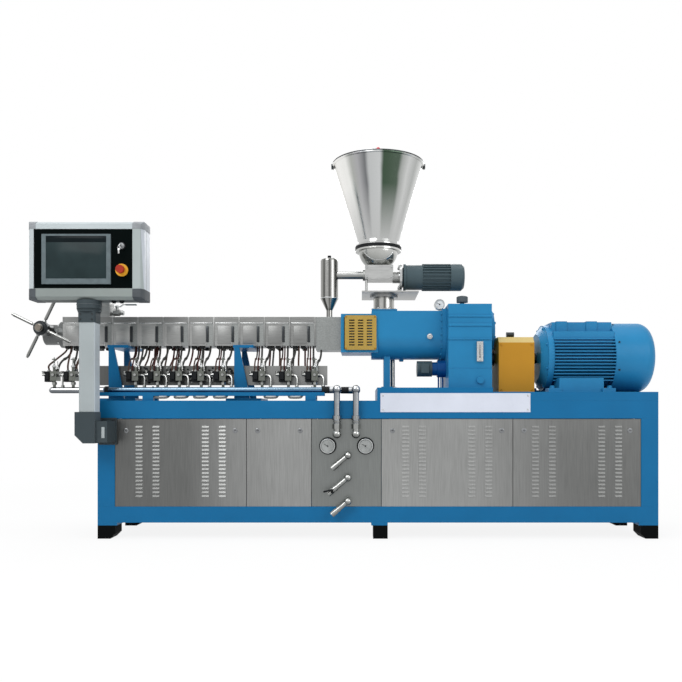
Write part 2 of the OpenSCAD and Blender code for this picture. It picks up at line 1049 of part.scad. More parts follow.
// Main gearbox with its split flanges, bearing cover and input boss
module main_gearbox() {
    half = main_w / 2;
    rib = 7;
    top = screw_h + main_rise;
    rib_zs = [
        [top - 72, top - 62],
        [top - 122, top - 108],
        [top - 196, top - 190],
        [gear_z, gear_z + 105]
    ];
    color(drive_blue)
        at_base() {
            block([main_l, main_r], [-half, half], [gear_z, top]);
            for (z = rib_zs)
                block([main_l, main_r], [-half - rib, half + rib], z);
            rod_x([main_r - fuse, main_r + cover_reach - 8], 0, cover_z, 236);
            rod_x([main_r - fuse, main_r + cover_reach], 0, cover_z, 170);
            rod_x([main_r - fuse, main_r + 20], 0, motor_axis_z, 150);
        }
}

// Breather, oil gauge, sight glass, plugs and the guard's knob
module drive_fittings() {
    top = screw_h + main_rise;
    half = main_w / 2;
    guard_top = motor_z + guard_h;
    color(dark_steel)
        at_base() {
            rod_z(main_l + 88, -120, [top, top + 24], 24);
            rod_z(main_l + 88, -120, [top + 20, top + 50], 63);
            rod_z(main_l - 33, -60, [casing_top, casing_top + 18], 14);
            rod_y(main_l - 33, [-78, -42], casing_top + 42, 58);
            block([main_l + 153, main_l + 187], [-half - 16, -half], [gear_z + 144, gear_z + 252]);
            rod_y(main_l + 172, [-half - 20, -half - 7], gear_z + 42, 38);
            rod_y(transfer_l + 323, [-belly_r - 14, -belly_r], screw_h - 22, 30);
            rod_z(guard_l + 96, 0, [guard_top, guard_top + 20], 14);
            rod_x([guard_l + 75, guard_l + 117], 0, guard_top + 27, 30);
        }
}

// Small oil pump with its motor, hung on the left face of the main gearbox
module oil_pump() {
    pump_d = 96;
    belly_gap = 8;
    z = belly_z - belly_r - belly_gap - pump_d / 2;
    color(motor_grey)
        at_base() {
            rod_x([main_l - 46, main_l], -60, z, pump_d);
            rod_x([main_l - 78, main_l - 44], -60, z, 76);
            rod_x([main_l - 160, main_l - 76], -60, z, 88);
            block([main_l - 140, main_l - 96], [-118, -70], [z - 26, z + 26]);
            for (x = [main_l - 38, main_l - 14])
                rod_z(x, -60, [gear_z, z], 9);
        }
}

// Shaft and coupling halves between gearbox and motor
module shaft_coupling()
    color(dark_steel)
        at_base() {
            rod_x([main_r + 20, motor_l], 0, motor_axis_z, 60);
            rod_x([guard_l + 20, guard_l + 94], 0, motor_axis_z, 150);
            rod_x([guard_l + 98, guard_l + 172], 0, motor_axis_z, 150);
        }

// Sheet guard over the coupling, with bevelled top edges and a hole in each end
module coupling_guard() {
    half = guard_w / 2;
    wall = 4;
    bevel = 33;
    color(guard_yellow)
        at_base()
            difference() {
                along_x([guard_l, guard_l + guard_len])
                    guard_outline(half, 0, guard_h, bevel);
                along_x([guard_l + wall, guard_l + guard_len - wall])
                    guard_outline(half - wall, -fuse, guard_h - wall, bevel);
                rod_x([guard_l - fuse, guard_l + guard_len + fuse], 0, motor_axis_z, 90);
            }
}

module guard_outline(half, bottom, height, bevel)
    translate([0, motor_z])
        polygon([
            [-half, bottom],
            [half, bottom],
            [half, height - bevel],
            [half - bevel, height],
            [-half + bevel, height],
            [-half, height - bevel]
        ]);

// Motor
module stator_outline() {
    fin_t = 6;
    fin_pitch = 17.5;
    core_r = motor_r - 32;
    circle(core_r);
    for (i = [-8 : 5]) {
        z = i * fin_pitch + 8;
        reach = sqrt(motor_r * motor_r - z * z);
        translate([-reach, z - fin_t / 2])
            square([2 * reach, fin_t]);
    }
    translate([-112, 0])
        square([224, motor_r - 4]);
    translate([-core_r + 6, 0])
        square([2 * core_r - 12, motor_r - 60]);
}

// End shield, finned stator and feet in one casting
module motor_body() {
    shield_cone = shield_len / 2;
    foot_half = 212;
    foot_l = stator_l + 17;
    foot_r = stator_l + 259;
    color(drive_blue)
        at_base() {
            translate([motor_l, 0, motor_axis_z])
                rotate([0, 90, 0]) {
                    cylinder(r1 = motor_r - 62, r2 = motor_r - 18, h = shield_cone + fuse);
                    translate([0, 0, shield_cone])
                        cylinder(r = motor_r - 12, h = shield_len - shield_cone + fuse);
                }
            translate([0, 0, motor_axis_z])
                along_x([stator_l, cowl_l])
                    stator_outline();
            block([foot_l, foot_r], [-foot_half, foot_half], [motor_z, motor_z + 78]);
            both_sides()
                for (x = [foot_l - 62, foot_r - 10])
                    block([x, x + 72], [-foot_half - 12, -foot_half + 60], [motor_z, motor_z + 22]);
            for (x = [stator_l + 25, stator_l + 192])
                block([x, x + 60], [-118, -60], [motor_axis_z + motor_r - 60, motor_axis_z + motor_r]);
        }
}

// Fan cowl: a straight drum with a rounded end and a ringed air inlet
module motor_fan_cowl() {
    round_r = 62;
    color(drive_blue)
        at_base()
            translate([cowl_l, 0, motor_axis_z])
                rotate([0, 90, 0])
                    difference() {
                        rotate_extrude() {
                            square([motor_r, cowl_len - round_r]);
                            square([motor_r - round_r, cowl_len]);
                            translate([motor_r - round_r, cowl_len - round_r])
                                intersection() {
                                    circle(round_r);
                                    square(round_r);
                                }
                        }
                        for (r = [40 : 16 : motor_r - round_r - 12])
                            translate([0, 0, cowl_len - 6])
                                difference() {
                                    cylinder(r = r + 9, h = 6 + fuse);
                                    translate([0, 0, -fuse])
                                        cylinder(r = r, h = 8 + 2 * fuse);
                                }
                    }
}

// Feeder
module round_feeder()
    translate([feeder_x, 0, 0])
        rotate_extrude()
            children();

// Conical hopper shell with a bolting flange at the neck and a rolled rim
module hopper() {
    inner = hopper_neck_r - hopper_wall;
    neck_z = rim_z - hopper_h;
    bead_r = 6;
    color(bright_steel)
        at_base()
            round_feeder() {
                polygon([
                    [inner, hopper_z],
                    [hopper_neck_r + 14, hopper_z],
                    [hopper_neck_r + 14, hopper_z + 6],
                    [hopper_neck_r + 2, hopper_z + 12],
                    [hopper_neck_r, neck_z],
                    [hopper_rim_r, rim_z],
                    [hopper_rim_r - hopper_wall, rim_z],
                    [inner, neck_z]
                ]);
                translate([hopper_rim_r, rim_z - bead_r])
                    circle(bead_r);
            }
}

// Shallow conical lid with a ball knob
module hopper_lid() {
    rise = 62;
    crown_r = 60;
    edge_r = hopper_rim_r - 8;
    color(bright_steel)
        at_base() {
            round_feeder()
                polygon([
                    [edge_r, rim_z],
                    [hopper_rim_r + 5, rim_z],
                    [hopper_rim_r + 5, rim_z + 4],
                    [edge_r, rim_z + 7],
                    [crown_r, rim_z + rise],
                    [0, rim_z + rise + 4],
                    [0, rim_z + rise + 1],
                    [crown_r, rim_z + rise - 3],
                    [edge_r, rim_z + 3]
                ]);
            rod_z(feeder_x, 0, [rim_z + rise + 2, rim_z + rise + 24], 12);
            translate([feeder_x, 0, rim_z + rise + 30])
                sphere(d = 26);
        }
}

// Clamp band between hopper and bowl
module hopper_band()
    color(black)
        at_base()
            round_feeder()
                translate([hopper_neck_r - hopper_wall, band_z])
                    square([hopper_wall + 16, hopper_z - band_z]);

// Half section of the bowl, or of the hollow inside it
module bowl_outline(wall) {
    belly = hopper_neck_r - 4 - wall;
    bottom = wall > 0 ? bowl_z + wall : bowl_z - fuse;
    top = wall > 0 ? band_z + fuse : band_z;
    intersection() {
        translate([0, band_z])
            circle(belly);
        translate([0, bottom])
            square([belly, top - bottom]);
    }
}

// Bowl, screw housing and motor adaptor
module feeder_body() {
    flange_t = 10;
    color(bright_steel)
        at_base() {
            block([block_l, block_r], [-66, 66], [block_z, bowl_z]);
            round_feeder()
                difference() {
                    union() {
                        bowl_outline(0);
                        translate([0, band_z - flange_t])
                            square([hopper_neck_r + 14, flange_t]);
                    }
                    bowl_outline(hopper_wall + 1);
                }
            rod_x([block_r - fuse, feeder_flange_x], 0, feeder_axis_z, 64);
        }
}

// Screw tube and the drop tube over the feed opening
module drop_tube() {
    cap_r = 14;
    spout_top = barrel_top + 47;
    cone_top = barrel_top + 113;
    drop_top = screw_tube_z + 94;
    color(bright_steel)
        at_base() {
            rod_x([drop_x, block_l], 0, screw_tube_z, screw_tube_d);
            rod_x([block_l - 12, block_l], 0, screw_tube_z, screw_tube_d + 18);
            rod_z(drop_x, 0, [barrel_top, spout_top + fuse], spout_d);
            translate([drop_x, 0, spout_top])
                cylinder(d1 = spout_d, d2 = drop_d, h = cone_top - spout_top);
            translate([drop_x, 0, 0])
                rotate_extrude() {
                    translate([0, cone_top])
                        square([drop_d / 2, drop_top - cap_r - cone_top]);
                    translate([0, cone_top])
                        square([drop_d / 2 - cap_r, drop_top - cone_top]);
                    translate([drop_d / 2 - cap_r, drop_top - cap_r])
                        intersection() {
                            circle(cap_r);
                            square(cap_r);
                        }
                }
            rod_z(drop_x, 0, [drop_top - fuse, drop_top + 18], 20);
        }
}

// Pedestal on the gearbox, bracket plate, legs and gusset
module feeder_stand() {
    plate_t = 8;
    plate_bottom = bracket_z - plate_t;
    gusset_top = feeder_axis_z - feeder_motor_d / 2 - run_gap;
    color(steel)
        at_base() {
            rod_z(stand_x, 0, [top_plate_z, plate_bottom + fuse], pedestal_d);
            rod_z(stand_x, 0, [top_plate_z, top_plate_z + 10], pedestal_d + 20);
            rod_z(stand_x, 0, [plate_bottom - 12, plate_bottom + fuse], pedestal_d + 41);
            block([feeder_x - 94, feeder_x + 221], [-150, 150], [plate_bottom, bracket_z]);
            both_sides()
                rod_z(feeder_x - 68, -45, [bracket_z - fuse, block_z], 14);
            along_y([-40, 40])
                polygon([
                    [feeder_flange_x - 68, bracket_z - fuse],
                    [feeder_flange_x + 6, bracket_z - fuse],
                    [feeder_flange_x + 6, gusset_top],
                    [feeder_flange_x - 10, gusset_top]
                ]);
        }
}

module feeder_fins() {
    r = feeder_motor_d / 2;
    circle(r - 10);
    for (a = [0 : 15 : 345])
        rotate(a)
            translate([0, -2])
                square([r, 4]);
}

// Geared feeder motor with a finned body
module feeder_motor() {
    x = feeder_flange_x;
    end = x + feeder_flange_t + feeder_motor_len;
    fins_l = x + 130;
    fins_r = end - 77;
    color(motor_grey)
        at_base() {
            rod_x([x, x + 13], 0, feeder_axis_z, feeder_motor_d);
            rod_x([x + 12, x + feeder_flange_t], 0, feeder_axis_z, feeder_motor_d - 40);
            rod_x([x + 23, x + feeder_flange_t], 0, feeder_axis_z, feeder_motor_d);
            rod_x([x + feeder_flange_t - fuse, fins_l + fuse], 0, feeder_axis_z, feeder_motor_d - 12);
            translate([0, 0, feeder_axis_z])
                along_x([fins_l, fins_r])
                    feeder_fins();
            rod_x([fins_r - fuse, end - 14], 0, feeder_axis_z, feeder_motor_d);
            translate([end - 14 - fuse, 0, feeder_axis_z])
                rotate([0, 90, 0])
                    cylinder(d1 = feeder_motor_d, d2 = feeder_motor_d - 28, h = 14 + fuse);
        }
}

// Control arm
module arm_bracket()
    color(arm_dark)
        at_base() {
            block(
                [column_x + 13, column_x + 107],
                [front_y - 12, front_y],
                [elbow_z - 13, elbow_z + 130]
            );
            block(
                [elbow_r, elbow_r + 60],
                [column_y - 30, front_y - 12 + fuse],
                [elbow_z + 4, elbow_z + 114]
            );
        }

// Elbow with its outer lower corner cut away
module arm_elbow() {
    cut = 42;
    depth = 92;
    color(arm_dark)
        at_base()
            along_y([column_y - depth / 2, column_y + depth / 2])
                polygon([
                    [elbow_r, elbow_z],
                    [elbow_r, column_z],
                    [elbow_r - elbow_w, column_z],
                    [elbow_r - elbow_w, elbow_z + cut],
                    [elbow_r - elbow_w + cut, elbow_z]
                ]);
}

module arm_column()
    color(arm_light)
        at_base()
            translate([column_x - column_w / 2, column_y - column_w / 2, column_z])
                linear_extrude(column_h)
                    rounded(column_w, column_w, 9);

// Fixed half of the swivel, with a spigot that the box turns on
module panel_coupling() {
    w = column_w + 8;
    top = coupling_z + coupling_h;
    plate = 14;
    color(arm_dark)
        at_base() {
            translate([column_x - w / 2, column_y - w / 2, coupling_z])
                linear_extrude(coupling_h - plate)
                    rounded(w, w, 14);
            rod_z(column_x, column_y, [top - plate - fuse, top], swivel_d - 10);
            rod_z(column_x, column_y, [top - fuse, box_z - 12], spigot_d);
        }
}

// Turning half of the swivel, bolted under the box
module swivel_flange()
    color(arm_dark)
        at_base()
            difference() {
                rod_z(column_x, column_y, [coupling_z + coupling_h + run_gap, box_z], swivel_d);
                rod_z(
                    column_x,
                    column_y,
                    [coupling_z + coupling_h - fuse, box_z - 12 + run_gap],
                    spigot_d + 2 * run_gap
                );
            }

// Extruded housing with a bevelled front frame and a pocket for the front plate
module control_box() {
    bevel = 14;
    bevel_depth = 24;
    color(arm_light)
        at_base()
            difference() {
                hull() {
                    block(
                        [box_l, box_l + box_w],
                        [box_front_y + bevel_depth, box_front_y + box_depth],
                        [box_z, box_z + box_h]
                    );
                    block(
                        [box_l + bevel, box_l + box_w - bevel],
                        [box_front_y, box_front_y + bevel_depth],
                        [box_z + bevel, box_z + box_h - bevel]
                    );
                }
                front_pocket(0, box_front_y - fuse, box_front_y + front_recess + front_t);
            }
}

// Space inside the front frame, smaller by a margin
module front_pocket(margin, y0, y1)
    block(
        [box_l + frame_left + margin, box_l + box_w - frame_right - margin],
        [y0, y1],
        [box_z + frame_bottom + margin, box_z + box_h - frame_top - margin]
    );

module box_front()
    color(black)
        at_base()
            front_pocket(run_gap, box_front_y + front_recess, box_front_y + front_recess + front_t);

// Screen bezel, key switch and emergency stop on the front plate
module operator_panel() {
    y = box_front_y + front_recess;
    pocket_top = box_z + box_h - frame_top;
    hmi_x = box_l + 76;
    hmi_z = box_z + frame_bottom + 21;
    hmi_w = box_w - 241;
    hmi_h = pocket_top - 27 - hmi_z;
    key_x = box_l + box_w - 109;
    key_z = pocket_top - 88;
    stop_z = box_z + frame_bottom + 93;
    color(dark_steel)
        at_base() {
            difference() {
                block([hmi_x, hmi_x + hmi_w], [y - 10, y], [hmi_z, hmi_z + hmi_h]);
                block(
                    [hmi_x + 22, hmi_x + hmi_w - 22],
                    [y - 10 - fuse, y - 7],
                    [hmi_z + 28, hmi_z + hmi_h - 10]
                );
            }
            rod_y(key_x, [y - 12, y], key_z, 30);
            rod_y(key_x, [y - 9, y], stop_z, 64);
            rod_y(key_x, [y - 28, y - 8], stop_z, 28);
            rod_y(key_x, [y - button_reach, y - 24], stop_z, 42);
        }
}

base_rails();
base_cross_rails();
base_posts();
deck_plate();
drive_plinth();
levelling_feet();
front_panels();
water_panel();
rear_and_end_panels();
name_board();
barrel_segments();
barrel_heaters();
barrel_top_covers();
barrel_supports();
die_head();
star_wheel();
vent_port();
vent_lever();
valve_plate();
valve_bodies();
valve_coils();
cooling_manifolds();
pipe_brackets();
riser_pipes();
water_fittings();
cooling_tubes();
heater_leads();
lantern();
lantern_guard();
transfer_gearbox();
gearbox_leg();
main_gearbox();
drive_fittings();
oil_pump();
shaft_coupling();
coupling_guard();
motor_body();
motor_fan_cowl();
hopper();
hopper_lid();
hopper_band();
feeder_body();
drop_tube();
feeder_stand();
feeder_motor();
arm_bracket();
arm_elbow();
arm_column();
panel_coupling();
swivel_flange();
control_box();
box_front();
operator_panel();
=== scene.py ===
"""Looks of the twin-screw compounding extruder: finishes, small fittings, light and camera."""

import math
import random

import bmesh
import bpy
from mathutils import Matrix, Vector


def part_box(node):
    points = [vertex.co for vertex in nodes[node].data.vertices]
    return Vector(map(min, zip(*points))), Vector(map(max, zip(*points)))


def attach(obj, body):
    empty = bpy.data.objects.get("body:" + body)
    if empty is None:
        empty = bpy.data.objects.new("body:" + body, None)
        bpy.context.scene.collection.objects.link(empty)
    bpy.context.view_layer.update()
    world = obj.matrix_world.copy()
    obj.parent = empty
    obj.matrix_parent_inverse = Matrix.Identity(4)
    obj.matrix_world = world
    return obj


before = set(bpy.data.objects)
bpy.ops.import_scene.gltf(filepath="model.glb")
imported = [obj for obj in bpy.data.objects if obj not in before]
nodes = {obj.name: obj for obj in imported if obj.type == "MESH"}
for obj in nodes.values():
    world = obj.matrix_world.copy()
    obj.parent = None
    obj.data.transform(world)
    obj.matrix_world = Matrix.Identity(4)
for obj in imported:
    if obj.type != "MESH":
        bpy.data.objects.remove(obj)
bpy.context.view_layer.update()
scene = bpy.context.scene

# Places are given in millimetres from the middle of the base, on the floor, as the machine is drawn
base_lo, base_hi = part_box("base_rails")
BASE_MID = Vector(((base_lo.x + base_hi.x) / 2, (base_lo.y + base_hi.y) / 2, 0.0))
MM = 0.001
TO_FRAME = Matrix.Translation(BASE_MID) @ Matrix.Scale(MM, 4)

LEFT, RIGHT, FRONT, BACK = (-1, 0, 0), (1, 0, 0), (0, -1, 0), (0, 1, 0)
UP, DOWN = (0, 0, 1), (0, 0, -1)


def at(x, y, z):
    """A place on the machine, from millimetres to the frame's metres."""
    return TO_FRAME @ Vector((x, y, z))


def span(node):
    """Lowest and highest corner of a node, in millimetres from the middle of the base."""
    low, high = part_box(node)
    return (low - BASE_MID) / MM, (high - BASE_MID) / MM


def middle(node):
    low, high = span(node)
    return (low + high) / 2


# Places that finishes and fittings share

SCREW_Z, MOTOR_Z = 1120, 986
HOPPER_X, STAND_X, DROP_X = 8, 40, -272.2
GEAR_GAUGE_X, SIGHT_X = 352, 555
PLUG_X, PLUG_Z = 291, 1098
BREATHER_X, BREATHER_Y = 473, -120
GAUGE_XS, GAUGE_Z = (-268, -67), 497
KEY_X, KEY_Z, STOP_Z = -1315, 1527, 1404
STAR = middle("star_wheel")
BOX_FRONT = span("box_front")[0].y

# First place, pitch and count of each row of valves
VALVE_ROWS = ((-1330.4, 120, 5), (-635.4, 145, 3), (-1779.4, 104, 2))
VALVES = [first + pitch * i for first, pitch, count in VALVE_ROWS for i in range(count)]


# Colours


def srgb(r, g, b):
    """A colour from 0 to 255 as the shader's linear values."""
    def linear(c):
        c = c / 255
        return c / 12.92 if c <= 0.04045 else ((c + 0.055) / 1.055) ** 2.4

    return (linear(r), linear(g), linear(b), 1.0)


def grey(v):
    return srgb(v, v + 1, v)


def greys(*stops):
    """Stops of a colour ramp from pairs of place and grey value."""
    return [(place, grey(value)) for place, value in stops]


def shade(colour, factor):
    """The same colour, darker or lighter."""
    return (*[min(c * factor, 1.0) for c in colour[:3]], 1.0)


class Look:
    """One procedural material, built node by node in the machine's own coordinates."""

    def __init__(self, name, roughness, metallic=0.0, specular=0.5):
        self.material = bpy.data.materials.new(name)
        self.material.use_nodes = True
        self.tree = self.material.node_tree
        self.shader = self.tree.nodes["Principled BSDF"]
        self.set("Roughness", roughness)
        self.set("Metallic", metallic)
        self.set("Specular IOR Level", specular)
        self.place = self.tree.nodes.new("ShaderNodeTexCoord").outputs["Object"]

    def set(self, socket, value):
        self.shader.inputs[socket].default_value = value

    def link(self, output, socket):
        self.tree.links.new(output, self.shader.inputs[socket])

    def node(self, kind, links=(), **values):
        made = self.tree.nodes.new(kind)
        for key, value in values.items():
            setattr(made, key, value)
        for socket, source in links:
            if hasattr(source, "is_output"):
                self.tree.links.new(source, made.inputs[socket])
            else:
                made.inputs[socket].default_value = source
        return made

    def stretched(self, scale):
        return self.node("ShaderNodeMapping", [("Vector", self.place), ("Scale", scale)]).outputs["Vector"]

    def noise(self, scale, detail=3.0, stretch=(1, 1, 1)):
        made = self.node(
            "ShaderNodeTexNoise",
            [("Vector", self.stretched(stretch)), ("Scale", scale), ("Detail", detail)],
        )
        return made.outputs["Fac"]

    def ramp(self, factor, stops):
        made = self.node("ShaderNodeValToRGB", [("Fac", factor)])
        points = made.color_ramp.elements
        while len(points) < len(stops):
            points.new(1.0)
        for point, (position, colour) in zip(points, stops):
            point.position = position
            point.color = colour
        return made.outputs["Color"]

    def range(self, factor, low, high, start=0.3, end=0.7):
        made = self.node(
            "ShaderNodeMapRange",
            [("Value", factor), ("From Min", start), ("From Max", end), ("To Min", low), ("To Max", high)],
        )
        return made.outputs["Result"]

    def maths(self, operation, a, b=0.0):
        return self.node("ShaderNodeMath", [(0, a), (1, b)], operation=operation).outputs["Value"]

    def mix(self, factor, low, high):
        """From the first colour at a factor of 0 to the second at 1."""
        made = self.node("ShaderNodeMix", [(0, factor), (6, low), (7, high)], data_type="RGBA")
        return made.outputs[2]

    def tint(self, colour, factor, strength):
        """A colour, lightened and darkened by a factor from 0 to 1."""
        tone = self.range(factor, 1 - strength, 1 + strength)
        made = self.node("ShaderNodeVectorMath", [(0, colour), ("Scale", tone)], operation="SCALE")
        return made.outputs["Vector"]

    def wander(self, scale, amount):
        """A slow drift about zero."""
        return self.maths("MULTIPLY", self.maths("SUBTRACT", self.noise(scale, 2.0), 0.5), amount)

    def bump(self, height, strength, distance, edge=0.0):
        links = [("Height", height), ("Strength", strength), ("Distance", distance)]
        if edge:
            links.append(("Normal", self.rounded(edge)))
        self.link(self.node("ShaderNodeBump", links).outputs["Normal"], "Normal")

    def rounded(self, radius):
        return self.node("ShaderNodeBevel", [("Radius", radius)], samples=4).outputs["Normal"]

    def worn_edge(self, radius):
        """Near 1 along sharp edges and 0 on flat faces."""
        normal = self.node("ShaderNodeNewGeometry").outputs["Normal"]
        pair = [(0, self.rounded(radius)), (1, normal)]
        same = self.node("ShaderNodeVectorMath", pair, operation="DOT_PRODUCT").outputs["Value"]
        return self.range(same, 1.0, 0.0, 0.8, 0.97)


# Finishes

FINE_EDGE = 0.0012
TONE_REACH = 1.41
ALONG, UPRIGHT = (0.06, 1, 1), (1, 1, 0.03)


def painted(name, colour, roughness=0.38, specular=0.18, edge=0.0025, wear=1.25):
    """Machine enamel: fine orange peel, slightly uneven gloss and thin paint along the edges."""
    look = Look(name, roughness, specular=specular)
    body = look.ramp(look.noise(5.0, 4.0), [(0.3, shade(colour, 0.94)), (0.7, shade(colour, 1.05))])
    rub = look.maths("MULTIPLY", look.worn_edge(edge), look.range(look.noise(60.0), 0.3, 1.0))
    look.link(look.mix(rub, body, shade(colour, wear)), "Base Color")
    look.link(look.range(look.noise(38.0), roughness - 0.05, roughness + 0.06), "Roughness")
    look.bump(look.noise(420.0, 2.0), 0.05, 0.0006, edge)
    return look.material


def brushed(name, stops, stretch=UPRIGHT, roughness=0.36):
    """Brushed sheet steel: its tone drifts along the machine, under fine streaks."""
    look = Look(name, roughness, metallic=1.0)
    streak = look.noise(300.0, 4.0, stretch)
    cloud = look.noise(2.6, 3.0)
    x = look.node("ShaderNodeSeparateXYZ", [("Vector", look.place)]).outputs["X"]
    along = look.range(x, 0.0, 1.0, BASE_MID.x - TONE_REACH, BASE_MID.x + TONE_REACH)
    tone = look.tint(look.tint(look.ramp(along, stops), streak, 0.1), cloud, 0.05)
    look.link(tone, "Base Color")
    look.link(look.range(streak, roughness - 0.06, roughness + 0.08), "Roughness")
    look.bump(streak, 0.1, 0.0004, 0.0015)
    return look.material


def machined(name, colour, roughness=0.3):
    """Turned or cast metal with a fine even grain."""
    look = Look(name, roughness, metallic=1.0)
    grain = look.noise(180.0, 4.0)
    look.link(look.ramp(grain, [(0.3, shade(colour, 0.84)), (0.7, shade(colour, 1.14))]), "Base Color")
    look.link(look.range(look.noise(24.0), roughness - 0.07, roughness + 0.1), "Roughness")
    look.bump(grain, 0.08, 0.0004, FINE_EDGE)
    return look.material


def polished(name, low, mid, high):
    """Bright tube with painted reflection: dark underneath, mid grey in front, light on top, as ground and
    sky would show in it.
    """
    look = Look(name, 0.18, metallic=1.0)
    normal = look.tree.nodes["Texture Coordinate"].outputs["Normal"]
    parts = look.node("ShaderNodeSeparateXYZ", [("Vector", normal)]).outputs
    lean = look.maths("ADD", parts["Z"], look.maths("MULTIPLY", parts["X"], 0.25))
    reflection_facing = look.range(look.maths("ADD", lean, look.wander(20.0, 0.25)), 0.0, 1.0, -1.0, 1.0)
    look.link(look.ramp(reflection_facing, [(0.1, low), (0.45, mid), (0.72, high), (0.95, mid)]), "Base Color")
    look.link(look.range(look.noise(40.0), 0.12, 0.26), "Roughness")
    look.bump(look.noise(300.0, 2.0), 0.03, 0.0003)
    return look.material


def moulded(name, colour, roughness=0.5, specular=0.2):
    """Moulded plastic or rubber with a leather-fine surface."""
    look = Look(name, roughness, specular=specular)
    tone = look.noise(30.0, 3.0)
    look.link(look.ramp(tone, [(0.3, shade(colour, 0.86)), (0.7, shade(colour, 1.14))]), "Base Color")
    look.link(look.range(tone, roughness - 0.06, roughness + 0.08), "Roughness")
    look.bump(look.noise(520.0, 2.0), 0.12, 0.0005, FINE_EDGE)
    return look.material


def mirror_steel(name, axis, stops, wander=0.02, fade=None):
    """Polished stainless on a round vessel: its tone runs in upright streaks round its axis, which are
    painted reflections.
    """
    look = Look(name, 0.14, metallic=1.0)
    place = look.node("ShaderNodeSeparateXYZ", [("Vector", look.place)]).outputs
    across = look.maths("SUBTRACT", place["X"], axis.x)
    depth = look.maths("SUBTRACT", place["Y"], axis.y)
    turn = look.maths("DIVIDE", look.maths("ARCTAN2", depth, across), 2 * math.pi)
    turn = look.maths("FRACT", look.maths("ADD", turn, 1.0))
    tone = look.ramp(look.maths("ADD", turn, look.wander(5.0, wander)), stops)
    if fade:
        low, high, plain = fade
        tone = look.mix(look.range(place["Z"], 0.0, 1.0, low, high), plain, tone)
    look.link(tone, "Base Color")
    look.link(look.range(look.noise(40.0), 0.1, 0.2), "Roughness")
    look.bump(look.noise(600.0, 2.0, (1, 1, 0.05)), 0.03, 0.0003)
    return look.material


def braided(name, colour):
    """Woven sheath: two crossing sets of threads."""
    look = Look(name, 0.55, specular=0.2)
    waves = []
    for direction in ("DIAGONAL", "X"):
        wave = look.node(
            "ShaderNodeTexWave",
            [("Vector", look.place), ("Scale", 45.0), ("Distortion", 2.0)],
            bands_direction=direction,
        )
        waves.append(wave.outputs["Fac"])
    weave = look.maths("MULTIPLY", waves[0], waves[1])
    look.link(look.ramp(weave, [(0.05, shade(colour, 0.6)), (0.6, shade(colour, 1.3))]), "Base Color")
    look.bump(weave, 0.35, 0.0008)
    return look.material


def glazed(name, colour):
    """Coated display glass with faint cloudy glare."""
    look = Look(name, 0.12, specular=0.06)
    cloud = look.noise(9.0, 2.0)
    look.link(look.ramp(cloud, [(0.3, shade(colour, 0.85)), (0.7, shade(colour, 1.15))]), "Base Color")
    look.link(look.range(cloud, 0.12, 0.2), "Roughness")
    return look.material


frame_paint = painted("frame_paint", srgb(10, 100, 149))
drive_paint = painted("drive_paint", srgb(36, 122, 170), 0.36, wear=1.1)
pump_paint = painted("pump_paint", srgb(12, 78, 140), 0.34)
guard_paint = painted("guard_paint", srgb(178, 128, 36), 0.4)
# A paler, lighter copy of the guard yellow: painted sky reflection on the guard's top bevel.
guard_bevel_glare = painted("guard_bevel_glare", srgb(190, 168, 106), 0.4)
lantern_paint = painted("lantern_paint", srgb(169, 141, 70), 0.4)
board_white = painted("board_white", srgb(206, 211, 223), 0.3, edge=0.001, wear=1.05)
panel_steel = brushed("panel_steel", greys(
    (0.0, 100), (0.14, 105), (0.22, 132), (0.32, 146), (0.55, 148),
    (0.68, 143), (0.76, 130), (0.86, 112), (1.0, 110),
))
water_steel = brushed("water_steel", [(0.0, srgb(123, 126, 125)), (1.0, srgb(126, 129, 127))])
plate_steel = brushed("plate_steel", greys((0.0, 90), (0.235, 95), (0.262, 128), (0.4, 133)))
# Painted light along the barrel: lighter towards the left end, against the dark control column mirrored
# there.
barrel_steel = brushed("barrel_steel", greys(
    (0.0, 158), (0.07, 150), (0.15, 140), (0.3, 126), (0.38, 128), (0.6, 144),
), ALONG, 0.44)
cover_steel = brushed("cover_steel", greys((0.0, 132), (0.3, 128), (1.0, 138)), (0.04, 1, 1), 0.4)
block_steel = brushed("block_steel", greys((0.0, 164), (1.0, 170)), ALONG, 0.4)
stand_steel = brushed("stand_steel", greys((0.0, 158), (1.0, 164)), ALONG)
barrel_core = machined("barrel_core", srgb(134, 137, 136), 0.42)
# The polished tubes carry painted reflection in their colour: dark underneath, light on top.
pipe_steel = polished("pipe_steel", srgb(70, 76, 82), srgb(136, 140, 144), srgb(204, 206, 208))
# Blue underneath: painted reflection of the blue base rail in the front pipe.
front_pipe = polished("front_pipe", srgb(24, 76, 128), srgb(84, 118, 146), srgb(124, 142, 154))
stub_steel = polished("stub_steel", srgb(80, 82, 82), srgb(140, 142, 140), srgb(190, 191, 189))
spoke_steel = polished("spoke_steel", srgb(62, 64, 64), srgb(120, 121, 119), srgb(178, 179, 177))
hub_steel = machined("hub_steel", srgb(122, 116, 108))
die_steel = machined("die_steel", srgb(98, 100, 100), 0.36)
lock_grey = machined("lock_grey", srgb(128, 130, 132), 0.34)
bright_steel = machined("bright_steel", srgb(190, 192, 192), 0.22)
polished_steel = polished("polished_steel", srgb(96, 98, 98), srgb(160, 162, 160), srgb(214, 215, 213))
dark_steel = machined("dark_steel", srgb(58, 61, 63), 0.4)
foot_rubber = moulded("foot_rubber", srgb(10, 12, 12), 0.66, specular=0.04)
black_plastic = moulded("black_plastic", srgb(24, 26, 28), specular=0.12)
# A lighter grey; on the elbow's right face it is painted light.
arm_light = painted("arm_light", srgb(84, 92, 96), 0.5, specular=0.12)
